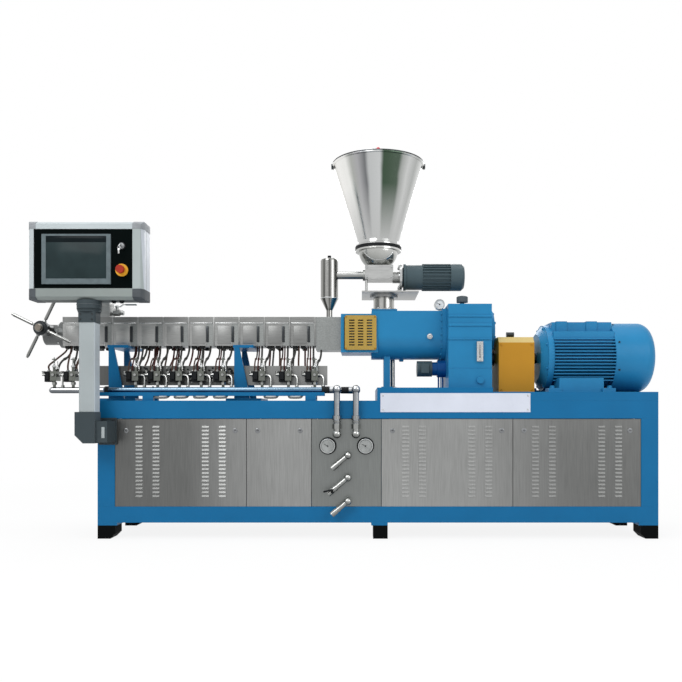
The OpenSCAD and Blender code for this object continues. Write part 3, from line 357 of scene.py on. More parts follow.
# A lighter copy of the column grey: painted light on the arm column's right face.
column_lit_side = painted("column_lit_side", srgb(188, 197, 202), 0.45)
arm_grey = painted("arm_grey", srgb(60, 69, 73), 0.5, specular=0.12)
column_grey = painted("column_grey", srgb(160, 168, 170), 0.45)
box_aluminium = painted("box_aluminium", srgb(182, 191, 194), 0.4, wear=1.1)
# The next four finishes are painted light and shade on the box frame: a lit side face, a shaded right band,
# a shaded lower band and a darker underside.
box_lit_side = painted("box_lit_side", srgb(194, 200, 207), 0.4, wear=1.1)
box_shaded_band = painted("box_shaded_band", srgb(163, 172, 172), 0.4, wear=1.1)
box_shade = painted("box_shade", srgb(136, 144, 142), 0.4, wear=1.1)
box_shaded_underside = painted("box_shaded_underside", srgb(98, 104, 104), 0.5)
# Lighter top corner caps and darker low ones: painted light and shade on one grey cap.
corner_light = moulded("corner_light", srgb(140, 144, 148))
corner_grey = moulded("corner_grey", srgb(76, 81, 85))
front_black = moulded("front_black", srgb(3, 8, 8), 0.55, specular=0.02)
bezel_grey = moulded("bezel_grey", srgb(92, 104, 108))
screen_dark = glazed("screen_dark", srgb(40, 52, 54))
strip_dark = glazed("strip_dark", srgb(18, 26, 29))
stop_yellow = moulded("stop_yellow", srgb(226, 164, 46), 0.42)
stop_red = moulded("stop_red", srgb(152, 38, 20), 0.4)
knob_red = moulded("knob_red", srgb(196, 52, 70), 0.35)
dial_grey = moulded("dial_grey", srgb(150, 153, 152), 0.45)
dial_white = moulded("dial_white", srgb(222, 224, 224), 0.4)
valve_brass = machined("valve_brass", srgb(104, 107, 102), 0.36)
feeder_paint = painted("feeder_paint", srgb(68, 84, 90), 0.42)
lead_sheath = braided("lead_sheath", srgb(74, 31, 29))
brown_sheath = braided("brown_sheath", srgb(74, 54, 46))
hose_sheath = braided("hose_sheath", srgb(62, 62, 60))
loop_sheath = braided("loop_sheath", srgb(118, 121, 121))

hopper_axis = sum(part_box("hopper"), Vector()) / 2
# Painted reflections round the hopper: upright light and dark streaks, one of them greenish.
hopper_steel = mirror_steel("hopper_steel", hopper_axis, [
    (0.0, srgb(202, 203, 200)), (0.06, srgb(176, 178, 174)), (0.2, srgb(206, 207, 204)),
    (0.34, srgb(150, 153, 148)), (0.46, srgb(214, 214, 210)), (0.53, srgb(214, 213, 208)),
    (0.56, srgb(238, 237, 234)), (0.615, srgb(232, 232, 229)), (0.64, srgb(170, 172, 168)),
    (0.665, srgb(168, 168, 170)), (0.695, srgb(112, 114, 116)), (0.708, srgb(186, 188, 188)),
    (0.752, srgb(196, 198, 198)), (0.764, srgb(66, 84, 68)), (0.826, srgb(80, 94, 82)),
    (0.838, srgb(160, 163, 160)), (0.87, srgb(200, 201, 200)), (0.91, srgb(172, 174, 172)),
    (0.95, srgb(212, 213, 211)),
], fade=(1.62, 1.93, srgb(188, 189, 188)))
# Painted reflection streaks for the round tubes.
tube_reflection_streaks = [
    (0.0, srgb(184, 185, 182)), (0.2, srgb(190, 190, 188)), (0.38, srgb(120, 122, 120)),
    (0.5, srgb(196, 196, 192)), (0.62, srgb(190, 190, 186)), (0.655, srgb(104, 104, 100)),
    (0.69, srgb(206, 206, 203)), (0.735, srgb(196, 196, 193)), (0.752, srgb(100, 100, 98)),
    (0.79, srgb(192, 192, 189)), (0.83, srgb(204, 204, 201)), (0.86, srgb(152, 152, 148)),
    (0.91, srgb(206, 206, 202)), (0.96, srgb(190, 191, 188)),
]
# Darker copies of the painted reflections for the drop tube and the stand: painted shade.
drop_reflection_streaks = [(place, shade(colour, 0.56)) for place, colour in tube_reflection_streaks]
stand_reflection_streaks = [(place, shade(colour, 0.75)) for place, colour in tube_reflection_streaks]
drop_steel = mirror_steel("drop_steel", at(DROP_X, 0, 0), drop_reflection_streaks, wander=0.01)
stand_tube = mirror_steel("stand_tube", at(STAND_X, 0, 0), stand_reflection_streaks, wander=0.03)
# The feeder bowl's tones are painted reflection, as on the polished tubes.
bowl_steel = polished("bowl_steel", srgb(138, 140, 137), srgb(188, 189, 186), srgb(224, 225, 223))

NODE_LOOKS = (
    (frame_paint, "base_rails base_cross_rails base_posts deck_plate drive_plinth"),
    (frame_paint, "barrel_supports pipe_brackets"),
    (foot_rubber, "levelling_feet"),
    (panel_steel, "front_panels rear_and_end_panels"),
    (water_steel, "water_panel"),
    (board_white, "name_board"),
    (barrel_core, "barrel_segments"),
    (barrel_steel, "barrel_heaters"),
    (cover_steel, "barrel_top_covers"),
    (die_steel, "die_head"),
    (spoke_steel, "star_wheel"),
    (stand_steel, "vent_port feeder_stand"),
    (bright_steel, "vent_lever"),
    (plate_steel, "valve_plate"),
    (valve_brass, "valve_bodies"),
    (black_plastic, "valve_coils hopper_band"),
    (pipe_steel, "cooling_manifolds riser_pipes"),
    (stub_steel, "water_fittings"),
    (hose_sheath, "cooling_tubes"),
    (lead_sheath, "heater_leads"),
    (drive_paint, "lantern transfer_gearbox gearbox_leg main_gearbox motor_body motor_fan_cowl"),
    (lantern_paint, "lantern_guard"),
    (dark_steel, "drive_fittings shaft_coupling"),
    (feeder_paint, "oil_pump feeder_motor"),
    (guard_paint, "coupling_guard"),
    (hopper_steel, "hopper hopper_lid"),
    (bowl_steel, "feeder_body"),
    (drop_steel, "drop_tube"),
    (arm_grey, "arm_bracket arm_elbow panel_coupling swivel_flange"),
    (column_grey, "arm_column"),
    (box_aluminium, "control_box"),
    (front_black, "box_front"),
    (bezel_grey, "operator_panel"),
)
for material, names in NODE_LOOKS:
    for name in names.split():
        mesh = nodes[name].data
        mesh.materials.clear()
        mesh.materials.append(material)


def paint_faces(node, material, test):
    """Gives a node's faces another finish where test is true of their middle, in millimetres."""
    mesh = nodes[node].data
    mesh.materials.append(material)
    index = len(mesh.materials) - 1
    for polygon in mesh.polygons:
        if test((polygon.center - BASE_MID) / MM):
            polygon.material_index = index


def within(p, x, z, reach):
    """Whether a place lies near a point of the front view."""
    return math.hypot(p.x - x, p.z - z) < reach


def near_axis(p, x, y, reach):
    """Whether a place lies near an upright axis."""
    return math.hypot(p.x - x, p.y - y) < reach


# Each limit lies between the faces that change and those that stay
paint_faces("operator_panel", lock_grey, lambda p: within(p, KEY_X, KEY_Z, 17))
paint_faces("operator_panel", stop_yellow, lambda p: within(p, KEY_X, STOP_Z, 34))
paint_faces("operator_panel", stop_red, lambda p: within(p, KEY_X, STOP_Z, 22) and p.y < BOX_FRONT - 10)
paint_faces(
    "drive_fittings", bright_steel,
    lambda p: within(p, GEAR_GAUGE_X, 1276, 46) or within(p, PLUG_X, PLUG_Z, 16),
)
paint_faces("drive_fittings", bright_steel, lambda p: abs(p.x - SIGHT_X) < 19 and 950 < p.z < 1064)
paint_faces("drive_fittings", drive_paint, lambda p: within(p, 557, 851, 20))
paint_faces("drive_fittings", arm_light, lambda p: near_axis(p, BREATHER_X, BREATHER_Y, 36) and p.z > 1262)
paint_faces("oil_pump", pump_paint, lambda p: p.x > 305)
paint_faces("hopper_lid", knob_red, lambda p: p.z > 2170)
paint_faces("drop_tube", black_plastic, lambda p: p.z > 1556.5)
paint_faces("drop_tube", polished_steel, lambda p: p.x > -220)
paint_faces("feeder_body", block_steel, lambda p: p.z < 1508)
paint_faces("feeder_motor", bright_steel, lambda p: p.x < 142.5)
paint_faces("feeder_stand", stand_tube, lambda p: p.z < 1331 and near_axis(p, STAND_X, 0, 61))
paint_faces("star_wheel", dark_steel, lambda p: 27 <= math.hypot(p.x - STAR.x, p.z - STAR.z) < 41)
# Painted light and shade by which way the box faces turn: lighter side, shaded right band, shaded bottom
# band and underside.
paint_faces("control_box", box_shaded_band, lambda p: p.x > -1250)
paint_faces("control_box", box_lit_side, lambda p: p.x > -1212)
paint_faces("control_box", box_shade, lambda p: p.z < 1300)
paint_faces("control_box", box_shaded_underside, lambda p: p.z < 1256)
# Painted reflection: the guard's top bevel gets the paler, lighter yellow.
paint_faces("coupling_guard", guard_bevel_glare, lambda p: p.z > 1061)
# The black outer flange of each water gauge is painted shadow between the gauge and the panel's cut-out.
paint_faces(
    "water_fittings", black_plastic,
    lambda p: p.y > -293 and any(within(p, x, GAUGE_Z, 47) for x in GAUGE_XS),
)
paint_faces("riser_pipes", stub_steel, lambda p: p.z < 612)
# The front manifold pipe gets the painted reflection of the blue rail below it.
paint_faces("cooling_manifolds", front_pipe, lambda p: p.y < -225)
paint_faces("heater_leads", brown_sheath, lambda p: any(-52 < p.x - x < -38 for x in VALVES))
# Painted light: the column's right face is lighter than its front.
paint_faces("arm_column", column_lit_side, lambda p: p.x > -1465)
# Painted light: the elbow's right face is lighter than its front.
paint_faces("arm_elbow", arm_light, lambda p: p.x > -1464)


# Small fittings


def smooth(points, steps):
    """Points along a soft curve through the given ones."""
    points = [Vector(p) for p in points]
    ends = [points[0] * 2 - points[1], *points, points[-1] * 2 - points[-2]]
    path = []
    for a, b, c, d in zip(ends, ends[1:], ends[2:], ends[3:]):
        curve = 2 * a - 5 * b + 4 * c - d
        twist = 3 * b - a - 3 * c + d
        for i in range(steps):
            t = i / steps
            path.append(0.5 * (2 * b + (c - a) * t + curve * t ** 2 + twist * t ** 3))
    return [*path, points[-1]]


def round_angles(count, start=0.0):
    return [start + 2 * math.pi * i / count for i in range(count)]


class Piece:
    """One added fitting, drawn in millimetres from the middle of the base."""

    def __init__(self, name, material, slot, body="machine"):
        self.name = name
        self.material = material
        self.slot = slot
        self.body = body
        self.bm = bmesh.new()

    def __enter__(self):
        return self

    def __exit__(self, *problem):
        bmesh.ops.remove_doubles(self.bm, verts=self.bm.verts, dist=0.001)
        bmesh.ops.recalc_face_normals(self.bm, faces=self.bm.faces)
        self.bm.transform(TO_FRAME)
        mesh = bpy.data.meshes.new(self.name)
        self.bm.to_mesh(mesh)
        self.bm.free()
        mesh.materials.append(self.material)
        for polygon in mesh.polygons:
            polygon.use_smooth = True
        mesh.set_sharp_from_angle(angle=math.radians(35))
        made = bpy.data.objects.new(self.name, mesh)
        scene.collection.objects.link(made)
        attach(made, self.body)

    def skin(self, rings, caps=True):
        """Faces between neighbouring rings of points. A ring may be a single point."""
        rings = [[self.bm.verts.new(p) for p in ring] for ring in rings]
        for low, high in zip(rings, rings[1:]):
            count = max(len(low), len(high))
            for i in range(count):
                j = (i + 1) % count
                loop = (low[i % len(low)], low[j % len(low)], high[j % len(high)], high[i % len(high)])
                corners = list(dict.fromkeys(loop))
                if len(corners) > 2:
                    self.bm.faces.new(corners)
        for ring in (rings[0], rings[-1]) if caps else ():
            if len(ring) > 2:
                self.bm.faces.new(ring)

    def block(self, x, y, z, bevel, turn=0.0):
        """A box with bevelled edges between three pairs of limits, turned about Y."""
        verts = bmesh.ops.create_cube(self.bm, size=1.0)["verts"]
        centre = Vector((sum(x) / 2, sum(y) / 2, sum(z) / 2))
        size = Matrix.Diagonal((x[1] - x[0], y[1] - y[0], z[1] - z[0], 1.0))
        place = Matrix.Translation(centre) @ Matrix.Rotation(turn, 4, "Y") @ size
        bmesh.ops.transform(self.bm, matrix=place, verts=verts)
        edges = list({edge for vert in verts for edge in vert.link_edges})
        bmesh.ops.bevel(self.bm, geom=edges, offset=bevel, segments=2, profile=0.5, affect="EDGES")

    def lathe(self, start, axis, profile, sides=28, caps=True):
        """A turned shape. The profile is pairs of distance along the axis and radius."""
        place = Matrix.Translation(start) @ Vector(axis).to_track_quat("Z", "Y").to_matrix().to_4x4()
        angles = round_angles(sides)
        rings = []
        for along, r in profile:
            turns = angles if r > 0.01 else angles[:1]
            rings.append([place @ Vector((r * math.cos(a), r * math.sin(a), along)) for a in turns])
        self.skin(rings, caps)

    def ring(self, start, axis, inner, outer, length, sides=36):
        c = min(1.0, length / 4)
        rim = [(0, outer - c), (c, outer), (length - c, outer), (length, outer - c)]
        self.lathe(start, axis, [(0, inner), *rim, (length, inner), (0, inner)], sides, caps=False)

    def tube(self, points, radius, sides, steps=6):
        """A bent tube of round section through the points."""
        path = smooth(points, steps)
        last = len(path) - 1
        tangents = [(path[min(i + 1, last)] - path[max(i - 1, 0)]).normalized() for i in range(last + 1)]
        side = tangents[0].orthogonal()
        rings = []
        for place, tangent in zip(path, tangents):
            side = (side - tangent * side.dot(tangent)).normalized()
            up = tangent.cross(side)
            angles = round_angles(sides)
            rings.append([place + (side * math.cos(a) + up * math.sin(a)) * radius for a in angles])
        self.skin(rings)

    def hex_bolt(self, place, axis, across, height):
        """Hexagon head on a washer."""
        r = across / math.sqrt(3)
        self.lathe(place, axis, [(0, r * 1.2), (height * 0.2, r * 1.2)], 20)
        self.lathe(place, axis, [(height * 0.1, r), (height * 0.85, r), (height, r * 0.8)], 6)

    def cap_screw(self, place, axis, d, height):
        """Round head with a socket."""
        r = d / 2
        socket = [(height, r * 0.5), (height * 0.4, r * 0.5)]
        self.lathe(place, axis, [(0, r), (height * 0.8, r), (height, r * 0.85), *socket], 16)

    def screw_grid(self, xs, y, zs, way, d, height):
        """Cap screws where columns and rows cross on a face to the front or back."""
        for x in xs:
            for z in zs:
                self.cap_screw((x, y, z), way, d, height)

    def bolt_circle(self, centre, axis, radius, count, across, height, start=0.0):
        """Hexagon bolts round an axis."""
        turn = Vector(axis).to_track_quat("Z", "Y")
        for a in round_angles(count, start):
            out = turn @ Vector((radius * math.cos(a), radius * math.sin(a), 0))
            self.hex_bolt(Vector(centre) + out, axis, across, height)


def dial(name, centre, radius, face):
    """Bezel ring, pale face, scale marks and needle of a round gauge that faces the front."""
    x, y, z = centre
    inside = radius - 4
    with Piece(f"{name}_bezel", bright_steel, "pipe_steel") as p:
        rim = [(0, radius), (4, radius), (6, radius - 1.5), (6, inside), (1, inside - 0.5)]
        p.lathe(centre, FRONT, rim, 40, caps=False)
    with Piece(f"{name}_face", face, "board_white") as p:
        p.lathe(centre, FRONT, [(0, inside), (1.2, inside), (1.2, 0)], 40)
    with Piece(f"{name}_marks", black_plastic, "black_plastic") as p:
        def bar(degrees, r, width, length, depth, bevel):
            a = math.radians(degrees)
            bar_x, bar_z = x + r * math.sin(a), z + r * math.cos(a)
            across = (bar_x - width / 2, bar_x + width / 2)
            p.block(across, depth, (bar_z - length / 2, bar_z + length / 2), bevel, a)

        for i in range(21):
            length = 5 if i % 5 == 0 else 3
            bar(-135 + 13.5 * i, radius - 6 - length / 2, 1.0, length, (y - 1.6, y - 1.1), 0.1)
        reach = radius * 0.28
        bar(-60, reach, 1.6, 2 * reach, (y - 3, y - 2), 0.2)
        p.lathe(centre, FRONT, [(1, 3.5), (4, 3.5), (4.6, 2.5)], 16)


# Base: panel locks, louvres at the back, screws of the board

PANEL_EDGES = (-1408, -704, -356, 18, 722, 1408)
WATER_PANEL_LEFT = -356
LOUVRED_PANELS = ((-1408, -704), (18, 722), (722, 1408))
LOUVRE_COLUMNS = (-222.5, -132, 132, 222.5)
LOUVRE_ROWS, LOUVRE_LOW, LOUVRE_PITCH, LOUVRE_HALF = 19, 223, 20.6, 18.5
PANEL_FACE = 283
LOCK_INSET, LOCK_Z = 60, 578
LOCK_HEAD = [(0, 13.5), (1.6, 13.5), (2.6, 12), (2.6, 8.5), (1.4, 8), (1.4, 0)]
BOARD_INSET = 14
with (
    Piece("panel_locks", lock_grey, "pipe_steel") as locks,
    Piece("panel_lock_slots", black_plastic, "black_plastic") as slots,
):
    for left, right in zip(PANEL_EDGES, PANEL_EDGES[1:]):
        for x in (left + LOCK_INSET, right - LOCK_INSET):
            for side, way in ((-1, FRONT), (1, BACK)):
                if left == WATER_PANEL_LEFT and way == FRONT:
                    continue
                y = side * PANEL_FACE
                locks.lathe((x, y, LOCK_Z), way, LOCK_HEAD)
                depth = sorted((y + side * 1.2, y + side * 2.0))
                slots.block((x - 5, x + 5), depth, (LOCK_Z - 1.4, LOCK_Z + 1.4), 0.3)
with Piece("rear_louvres", panel_steel, "panel_steel") as p:
    for left, right in LOUVRED_PANELS:
        for column in LOUVRE_COLUMNS:
            x = (left + right) / 2 + column
            for row in range(LOUVRE_ROWS):
                z = LOUVRE_LOW + row * LOUVRE_PITCH
                hood = [(-0.2, z + 10), (3.4, z + 0.4), (2.8, z), (-0.2, z)]
                ends = (x - LOUVRE_HALF, x + LOUVRE_HALF)
                p.skin([[(end, PANEL_FACE + out, rise) for out, rise in hood] for end in ends])
with Piece("board_screws", bright_steel, "pipe_steel") as p:
    low, high = span("name_board")
    columns = (low.x + BOARD_INSET, high.x - BOARD_INSET)
    p.screw_grid(columns, low.y, (low.z + BOARD_INSET, high.z - BOARD_INSET), FRONT, 9, 3)

# Barrel line

SEGMENTS = [-1769.4 + 142.4 * i for i in range(10)]
OVER_SUPPORTS = (2, 7)
WIRED_SEGMENTS = [x for i, x in enumerate(SEGMENTS) if i not in OVER_SUPPORTS]
NO_BACK_LEADS = (0, 1, 2, 6, 7)
HEATER_FRONT = span("barrel_heaters")[0].y
HEATER_UNDER, TERMINAL_UNDER, COVER_TOP = 1050, 1035, 1213
VALVE_PLATE_FRONT, VALVE_PLATE_BACK = (corner.y for corner in span("valve_plate"))
with Piece("cover_lips", bright_steel, "polished_steel") as p:
    for x in SEGMENTS:
        for y in (-87.2, 84.8):
            p.block((x + 4, x + 131), (y, y + 2.4), (1175, 1180.5), 0.8)
with Piece("cover_screws", dark_steel, "dark_steel") as p:
    for x in SEGMENTS:
        for y in (-62, 62):
            for left in (22, 113):
                p.cap_screw((x + left, y, COVER_TOP), UP, 11, 1.8)
with Piece("seam_strips", barrel_steel, "barrel_steel") as p:
    for x in SEGMENTS:
        seam = (x + 134.3, x + 143.5)
        for y in (-84, 78):
            p.block(seam, (y, y + 6), (HEATER_UNDER + 0.5, COVER_TOP - 0.6), 0.6)
        p.block(seam, (-79, 79), (COVER_TOP - 6, COVER_TOP - 0.6), 0.6)
# Limits across a segment, limits in height, how far the plate stands out, bevel
FLAT_PLATES = (
    ("heater_plates", barrel_steel, "barrel_steel", (18, 92), (1060, 1164), 1.8, 1.2),
    # The dark slot plates are painted shadow, widening the dark gap between each heater and the next
    # flange.
    ("slot_shadow_plates", dark_steel, "dark_steel", (95, 110), (1072, 1160), 1.2, 0.6),
)
for name, material, slot, (left, right), rise, out, bevel in FLAT_PLATES:
    with Piece(name, material, slot) as p:
        for x in SEGMENTS:
            for y in (HEATER_FRONT - out, -HEATER_FRONT - 1):
                p.block((x + left, x + right), (y, y + out + 1), rise, bevel)
with Piece("die_bolts", bright_steel, "pipe_steel") as p:
    p.bolt_circle((-1802.4, 0, SCREW_Z), LEFT, 67, 8, 12, 8)
with Piece("heater_terminals", black_plastic, "black_plastic") as p:
    for x in WIRED_SEGMENTS:
        for left in (12, 58):
            for y in (-78, 40):
                p.block((x + left, x + left + 26), (y, y + 38), (TERMINAL_UNDER, HEATER_UNDER), 2)
with Piece("terminal_nuts", valve_brass, "valve_brass") as p:
    for x in WIRED_SEGMENTS:
        for left in (25, 71):
            p.hex_bolt((x + left, -70, TERMINAL_UNDER), DOWN, 9, 6)

LEADS = (
    ("dark_leads", hose_sheath, "hose_sheath"),
    ("brown_leads", brown_sheath, "hose_sheath"),
    ("red_leads", lead_sheath, "lead_sheath"),
)
random.seed(7)
for turn, (name, material, slot) in enumerate(LEADS):
    with Piece(name, material, slot) as p:
        for i, x in enumerate(SEGMENTS):
            for j, left in enumerate((18, 46, 74)):
                top = x + left + random.uniform(-6, 6)
                if i in NO_BACK_LEADS or (i + j) % len(LEADS) != turn:
                    continue
                foot = top + random.uniform(-10, 10)
                y = random.uniform(-64, -30)
                clamped = VALVE_PLATE_BACK + 4.8
                p.tube([
                    (top, y, HEATER_UNDER), (top + 2, y - 4, 1020), (top + (foot - top) * 0.4, y - 18, 975),
                    (foot, VALVE_PLATE_BACK + 6, 930), (foot, clamped, 890), (foot, clamped, 845),
                ], 5.2, 8)
with Piece("lead_clamps", dark_steel, "dark_steel") as p:
    for limits in ((-1348, -905), (-642, -338)):
        p.block(limits, (VALVE_PLATE_BACK - 0.2, VALVE_PLATE_BACK + 11.5), (843, 858), 1.5)
# Top, bend, knee and foot of each conduit to the end valves, its radius and sides
CONDUITS = (
    (-1655, -1655, (-1660, -120, 970), (-1666.4, -147, 914), 7.5, 12),
    (-1726, -1726, (-1718, -122, 970), (-1710.4, -155, 911), 5, 10),
    (-1752, -1754, (-1790, -122, 970), (-1814.4, -155, 911), 5, 10),
)
with Piece("end_conduits", brown_sheath, "hose_sheath") as p:
    for top, bend, knee, foot, radius, sides in CONDUITS:
        above = (*foot[:2], 935)
        p.tube([(top, -62, HEATER_UNDER), (bend, -74, 1020), knee, above, foot], radius, sides)

# Valves and pipes

VALVE_TOP, COIL_Z = 902, 884
FLOW_Y, FLOW_Z, FLOW_REACH = -160, 880, 46
NEEDLE_Y, NEEDLE_Z = -171, 923
PIPE_Z, FRONT_PIPE_Y, BACK_PIPE_Y = 798, -255, -168
RISER_XS, RISER_Y = (-219, -118), -318
with Piece("valve_nuts", stub_steel, "pipe_steel") as p:
    for x in VALVES:
        for dx, y in ((-9, -140), (9, -147)):
            p.lathe((x + dx, y, VALVE_TOP), UP, [(0, 9.5), (11, 9.5), (13, 8)], 6)
        p.lathe((x - 35, -155, VALVE_TOP), UP, [(0, 11), (6, 11), (7, 9.5), (7, 5), (12, 5)], 6)
        p.lathe((x, BACK_PIPE_Y, PIPE_Z + 30), UP, [(0, 14), (13, 14), (15, 12)], 6)
        p.lathe((x - 53, -158, COIL_Z), LEFT, [(0, 9), (7, 9), (8, 6.5), (17, 6.5), (21, 0)], 16)
        p.lathe((x - 66, -158, COIL_Z), UP, [(0, 6), (14, 6), (14, 8), (20, 8)], 12)
        p.lathe((x, -187, COIL_Z - 2), FRONT, [(0, 10), (7, 10), (9, 8.5)], 6)
        p.lathe((x + 9, -147, VALVE_TOP + 12), UP, [(0, 6), (16, 5), (20, 2.8), (46, 1.6), (46, 0)], 10)
with Piece("flow_fittings", stub_steel, "pipe_steel") as p:
    for x in VALVES:
        end = x + FLOW_REACH
        p.tube([
            (x + 14, FLOW_Y, FLOW_Z), (x + 32, FLOW_Y, FLOW_Z), (x + 43, FLOW_Y - 3, FLOW_Z - 6),
            (end, FLOW_Y - 6, 862), (end, BACK_PIPE_Y, 838), (end, BACK_PIPE_Y, 813),
        ], 5, 10)
        p.lathe((end, BACK_PIPE_Y, 812), UP, [(0, 10), (12, 10), (14, 8)], 6)
        p.lathe((x + 17, FLOW_Y, FLOW_Z), RIGHT, [(0, 9), (9, 9), (11, 7)], 6)
PLATE_FITTINGS = (
    ("plate_unions", stub_steel, "pipe_steel"),
    ("plate_glands", black_plastic, "black_plastic"),
)
random.seed(11)
for name, material, slot in PLATE_FITTINGS:
    with Piece(name, material, slot) as p:
        for x in VALVES[:5]:
            for _ in range(6):
                place = (x + random.uniform(22, 62), VALVE_PLATE_FRONT + 0.5, random.uniform(842, 924))
                r, out = random.uniform(3.5, 7), random.uniform(8, 20)
                collar = [(0, r * 1.3), (out * 0.4, r * 1.3)]
                stem = [(out * 0.4, r), (out, r), (out + 1.5, r * 0.7)]
                p.lathe(place, FRONT, collar + stem, random.choice((6, 14)))
with Piece("needle_knobs", bright_steel, "pipe_steel") as p:
    for x in VALVES:
        p.lathe((x, NEEDLE_Y, NEEDLE_Z), UP, [(0, 9), (2, 11), (9, 11), (11, 9)], 12)
        spindle = [(0, 5), (12, 5), (14, 3.4), (46, 2.4), (48, 0)]
        p.lathe((x, NEEDLE_Y, NEEDLE_Z + 10.5), UP, spindle, 12)
# Half of a loop under the front pipe: distance from its middle, depth and height
HALF_LOOP = ((36, -196, 790), (36, -226, 772), (31, -262, 758), (14, -279, 755))
with Piece("pipe_loops", loop_sheath, "pipe_steel") as p:
    for x in (-1165, -1062, -957, -850, -577, -445):
        down = [(x - dx, y, z) for dx, y, z in HALF_LOOP]
        back_up = [(x + dx, y, z) for dx, y, z in reversed(HALF_LOOP)]
        p.tube(down + back_up, 6.5, 10)
# Left end, depth, inner and outer radius, length
SLEEVES = (
    (-1470, FRONT_PIPE_Y, 13.4, 19, 20), (-302, FRONT_PIPE_Y, 13.4, 18, 42),
    (-1560, BACK_PIPE_Y, 16.9, 21, 16), (-200, BACK_PIPE_Y, 16.9, 18.6, 64),
)
with Piece("pipe_sleeves", black_plastic, "black_plastic") as p:
    for x, y, inner, outer, length in SLEEVES:
        p.ring((x, y, PIPE_Z), RIGHT, inner, outer, length)
STRAP_R, STRAP_FOOT = 19.5, 781
with Piece("pipe_straps", bright_steel, "pipe_steel") as p:
    for x in (-1236, -361):
        strap = [(x, BACK_PIPE_Y + STRAP_R, STRAP_FOOT)]
        for i in range(9):
            a = math.pi * i / 8
            strap.append((x, BACK_PIPE_Y + STRAP_R * math.cos(a), PIPE_Z + STRAP_R * math.sin(a)))
        strap.append((x, BACK_PIPE_Y - STRAP_R, STRAP_FOOT))
        p.tube(strap, 3, 8, 3)
with Piece("water_lever", black_plastic, "black_plastic") as p:
    p.block((-290, -236), (-352, -344), (258, 268), 3, math.radians(-12))
    p.lathe((-243, -326, 256), FRONT, [(0, 8), (18, 8), (20, 6)], 16)
with Piece("riser_unions", stub_steel, "pipe_steel") as p:
    for x in RISER_XS:
        p.lathe((x, RISER_Y, 640), UP, [(0, 17), (2, 23), (18, 23), (21, 17)], 8)
        for z in (596, 609, 622):
            p.lathe((x, RISER_Y, z), UP, [(0, 17), (2, 20), (7, 20), (9, 17)], 20)
for side, x in zip(("left", "right"), GAUGE_XS):
    dial(f"{side}_water_gauge", (x, -315, GAUGE_Z), 40, dial_grey)

# Drive

GEAR_FRONT = -230
FLANGE_X, FLANGE_HALF, ARCH_Z = 361, 130, 1103
OIL_PIPE = (93, 60, 809)
dial("gear_gauge", (GEAR_GAUGE_X, -78, 1284), 29, dial_white)
with Piece("sight_slit", lock_grey, "polished_steel") as p:
    p.block((SIGHT_X - 5, SIGHT_X + 5), (GEAR_FRONT - 1.4, GEAR_FRONT + 1), (972, 1042), 0.6)
with Piece("sight_marks", bright_steel, "pipe_steel") as p:
    p.screw_grid((SIGHT_X,), GEAR_FRONT, (962, 1052), FRONT, 13, 5)
    for z in range(984, 1040, 12):
        p.block((SIGHT_X - 4, SIGHT_X + 4), (GEAR_FRONT - 2, GEAR_FRONT - 1), (z, z + 2), 0.2)
with Piece("plug_head", bright_steel, "pipe_steel") as p:
    p.lathe((PLUG_X, -139, PLUG_Z), FRONT, [(0, 12), (6, 12), (7, 10.5), (7, 5), (3, 5)], 6)
with Piece("drive_bolts", drive_paint, "drive_paint") as p:
    for y in (-FLANGE_HALF, FLANGE_HALF):
        for z in (1110, 1148, 1186, 1224):
            p.hex_bolt((FLANGE_X, y, z), LEFT, 11, 8)
    for i in range(9):
        a = math.radians(190 + 20 * i)
        place = (FLANGE_X, FLANGE_HALF * math.cos(a), ARCH_Z + FLANGE_HALF * math.sin(a))
        p.hex_bolt(place, LEFT, 11, 8)
    p.bolt_circle((656, 0, 1138), RIGHT, 103, 8, 14, 8, 0.4)
    for y in (-205, 205):
        for x in (952, 1266):
            p.hex_bolt((x, y, 808), UP, 22, 14)
    p.lathe((140, 0, 979), DOWN, [(0, 13), (5, 13), (12, 11)], 6)
with Piece("cowl_screws", dark_steel, "dark_steel") as p:
    for a in round_angles(8, math.radians(22.5)):
        out = Vector((0, math.cos(a), math.sin(a)))
        p.cap_screw(Vector((1327, 0, MOTOR_Z)) + out * 197.5, out, 11, 4)
with Piece("shield_bolts", drive_paint, "drive_paint") as p:
    p.bolt_circle((941, 0, MOTOR_Z), LEFT, 172, 8, 15, 10, 0.39)
with Piece("guard_screws", guard_paint, "guard_paint") as p:
    for side, way in ((-1, FRONT), (1, BACK)):
        p.screw_grid((682, 850), side * 170, (800, 1048), way, 12, 4)
        p.screw_grid((-174, -14), side * 139, (1031, 1207), way, 9, 3)
with Piece("oil_pipe", polished_steel, "pipe_steel") as p:
    x, y, foot = OIL_PIPE
    p.tube([(x, y, z) for z in (foot, 860, 940, 1000)], 13.5, 20)
    p.lathe(OIL_PIPE, UP, [(0, 22), (14, 22), (17, 19)], 6)
with Piece("breather_cap", arm_light, "arm_grey") as p:
    p.lathe((BREATHER_X, BREATHER_Y, 1318), UP, [(0, 30), (3, 27), (5, 20), (5, 0)], 32)

# Feeder

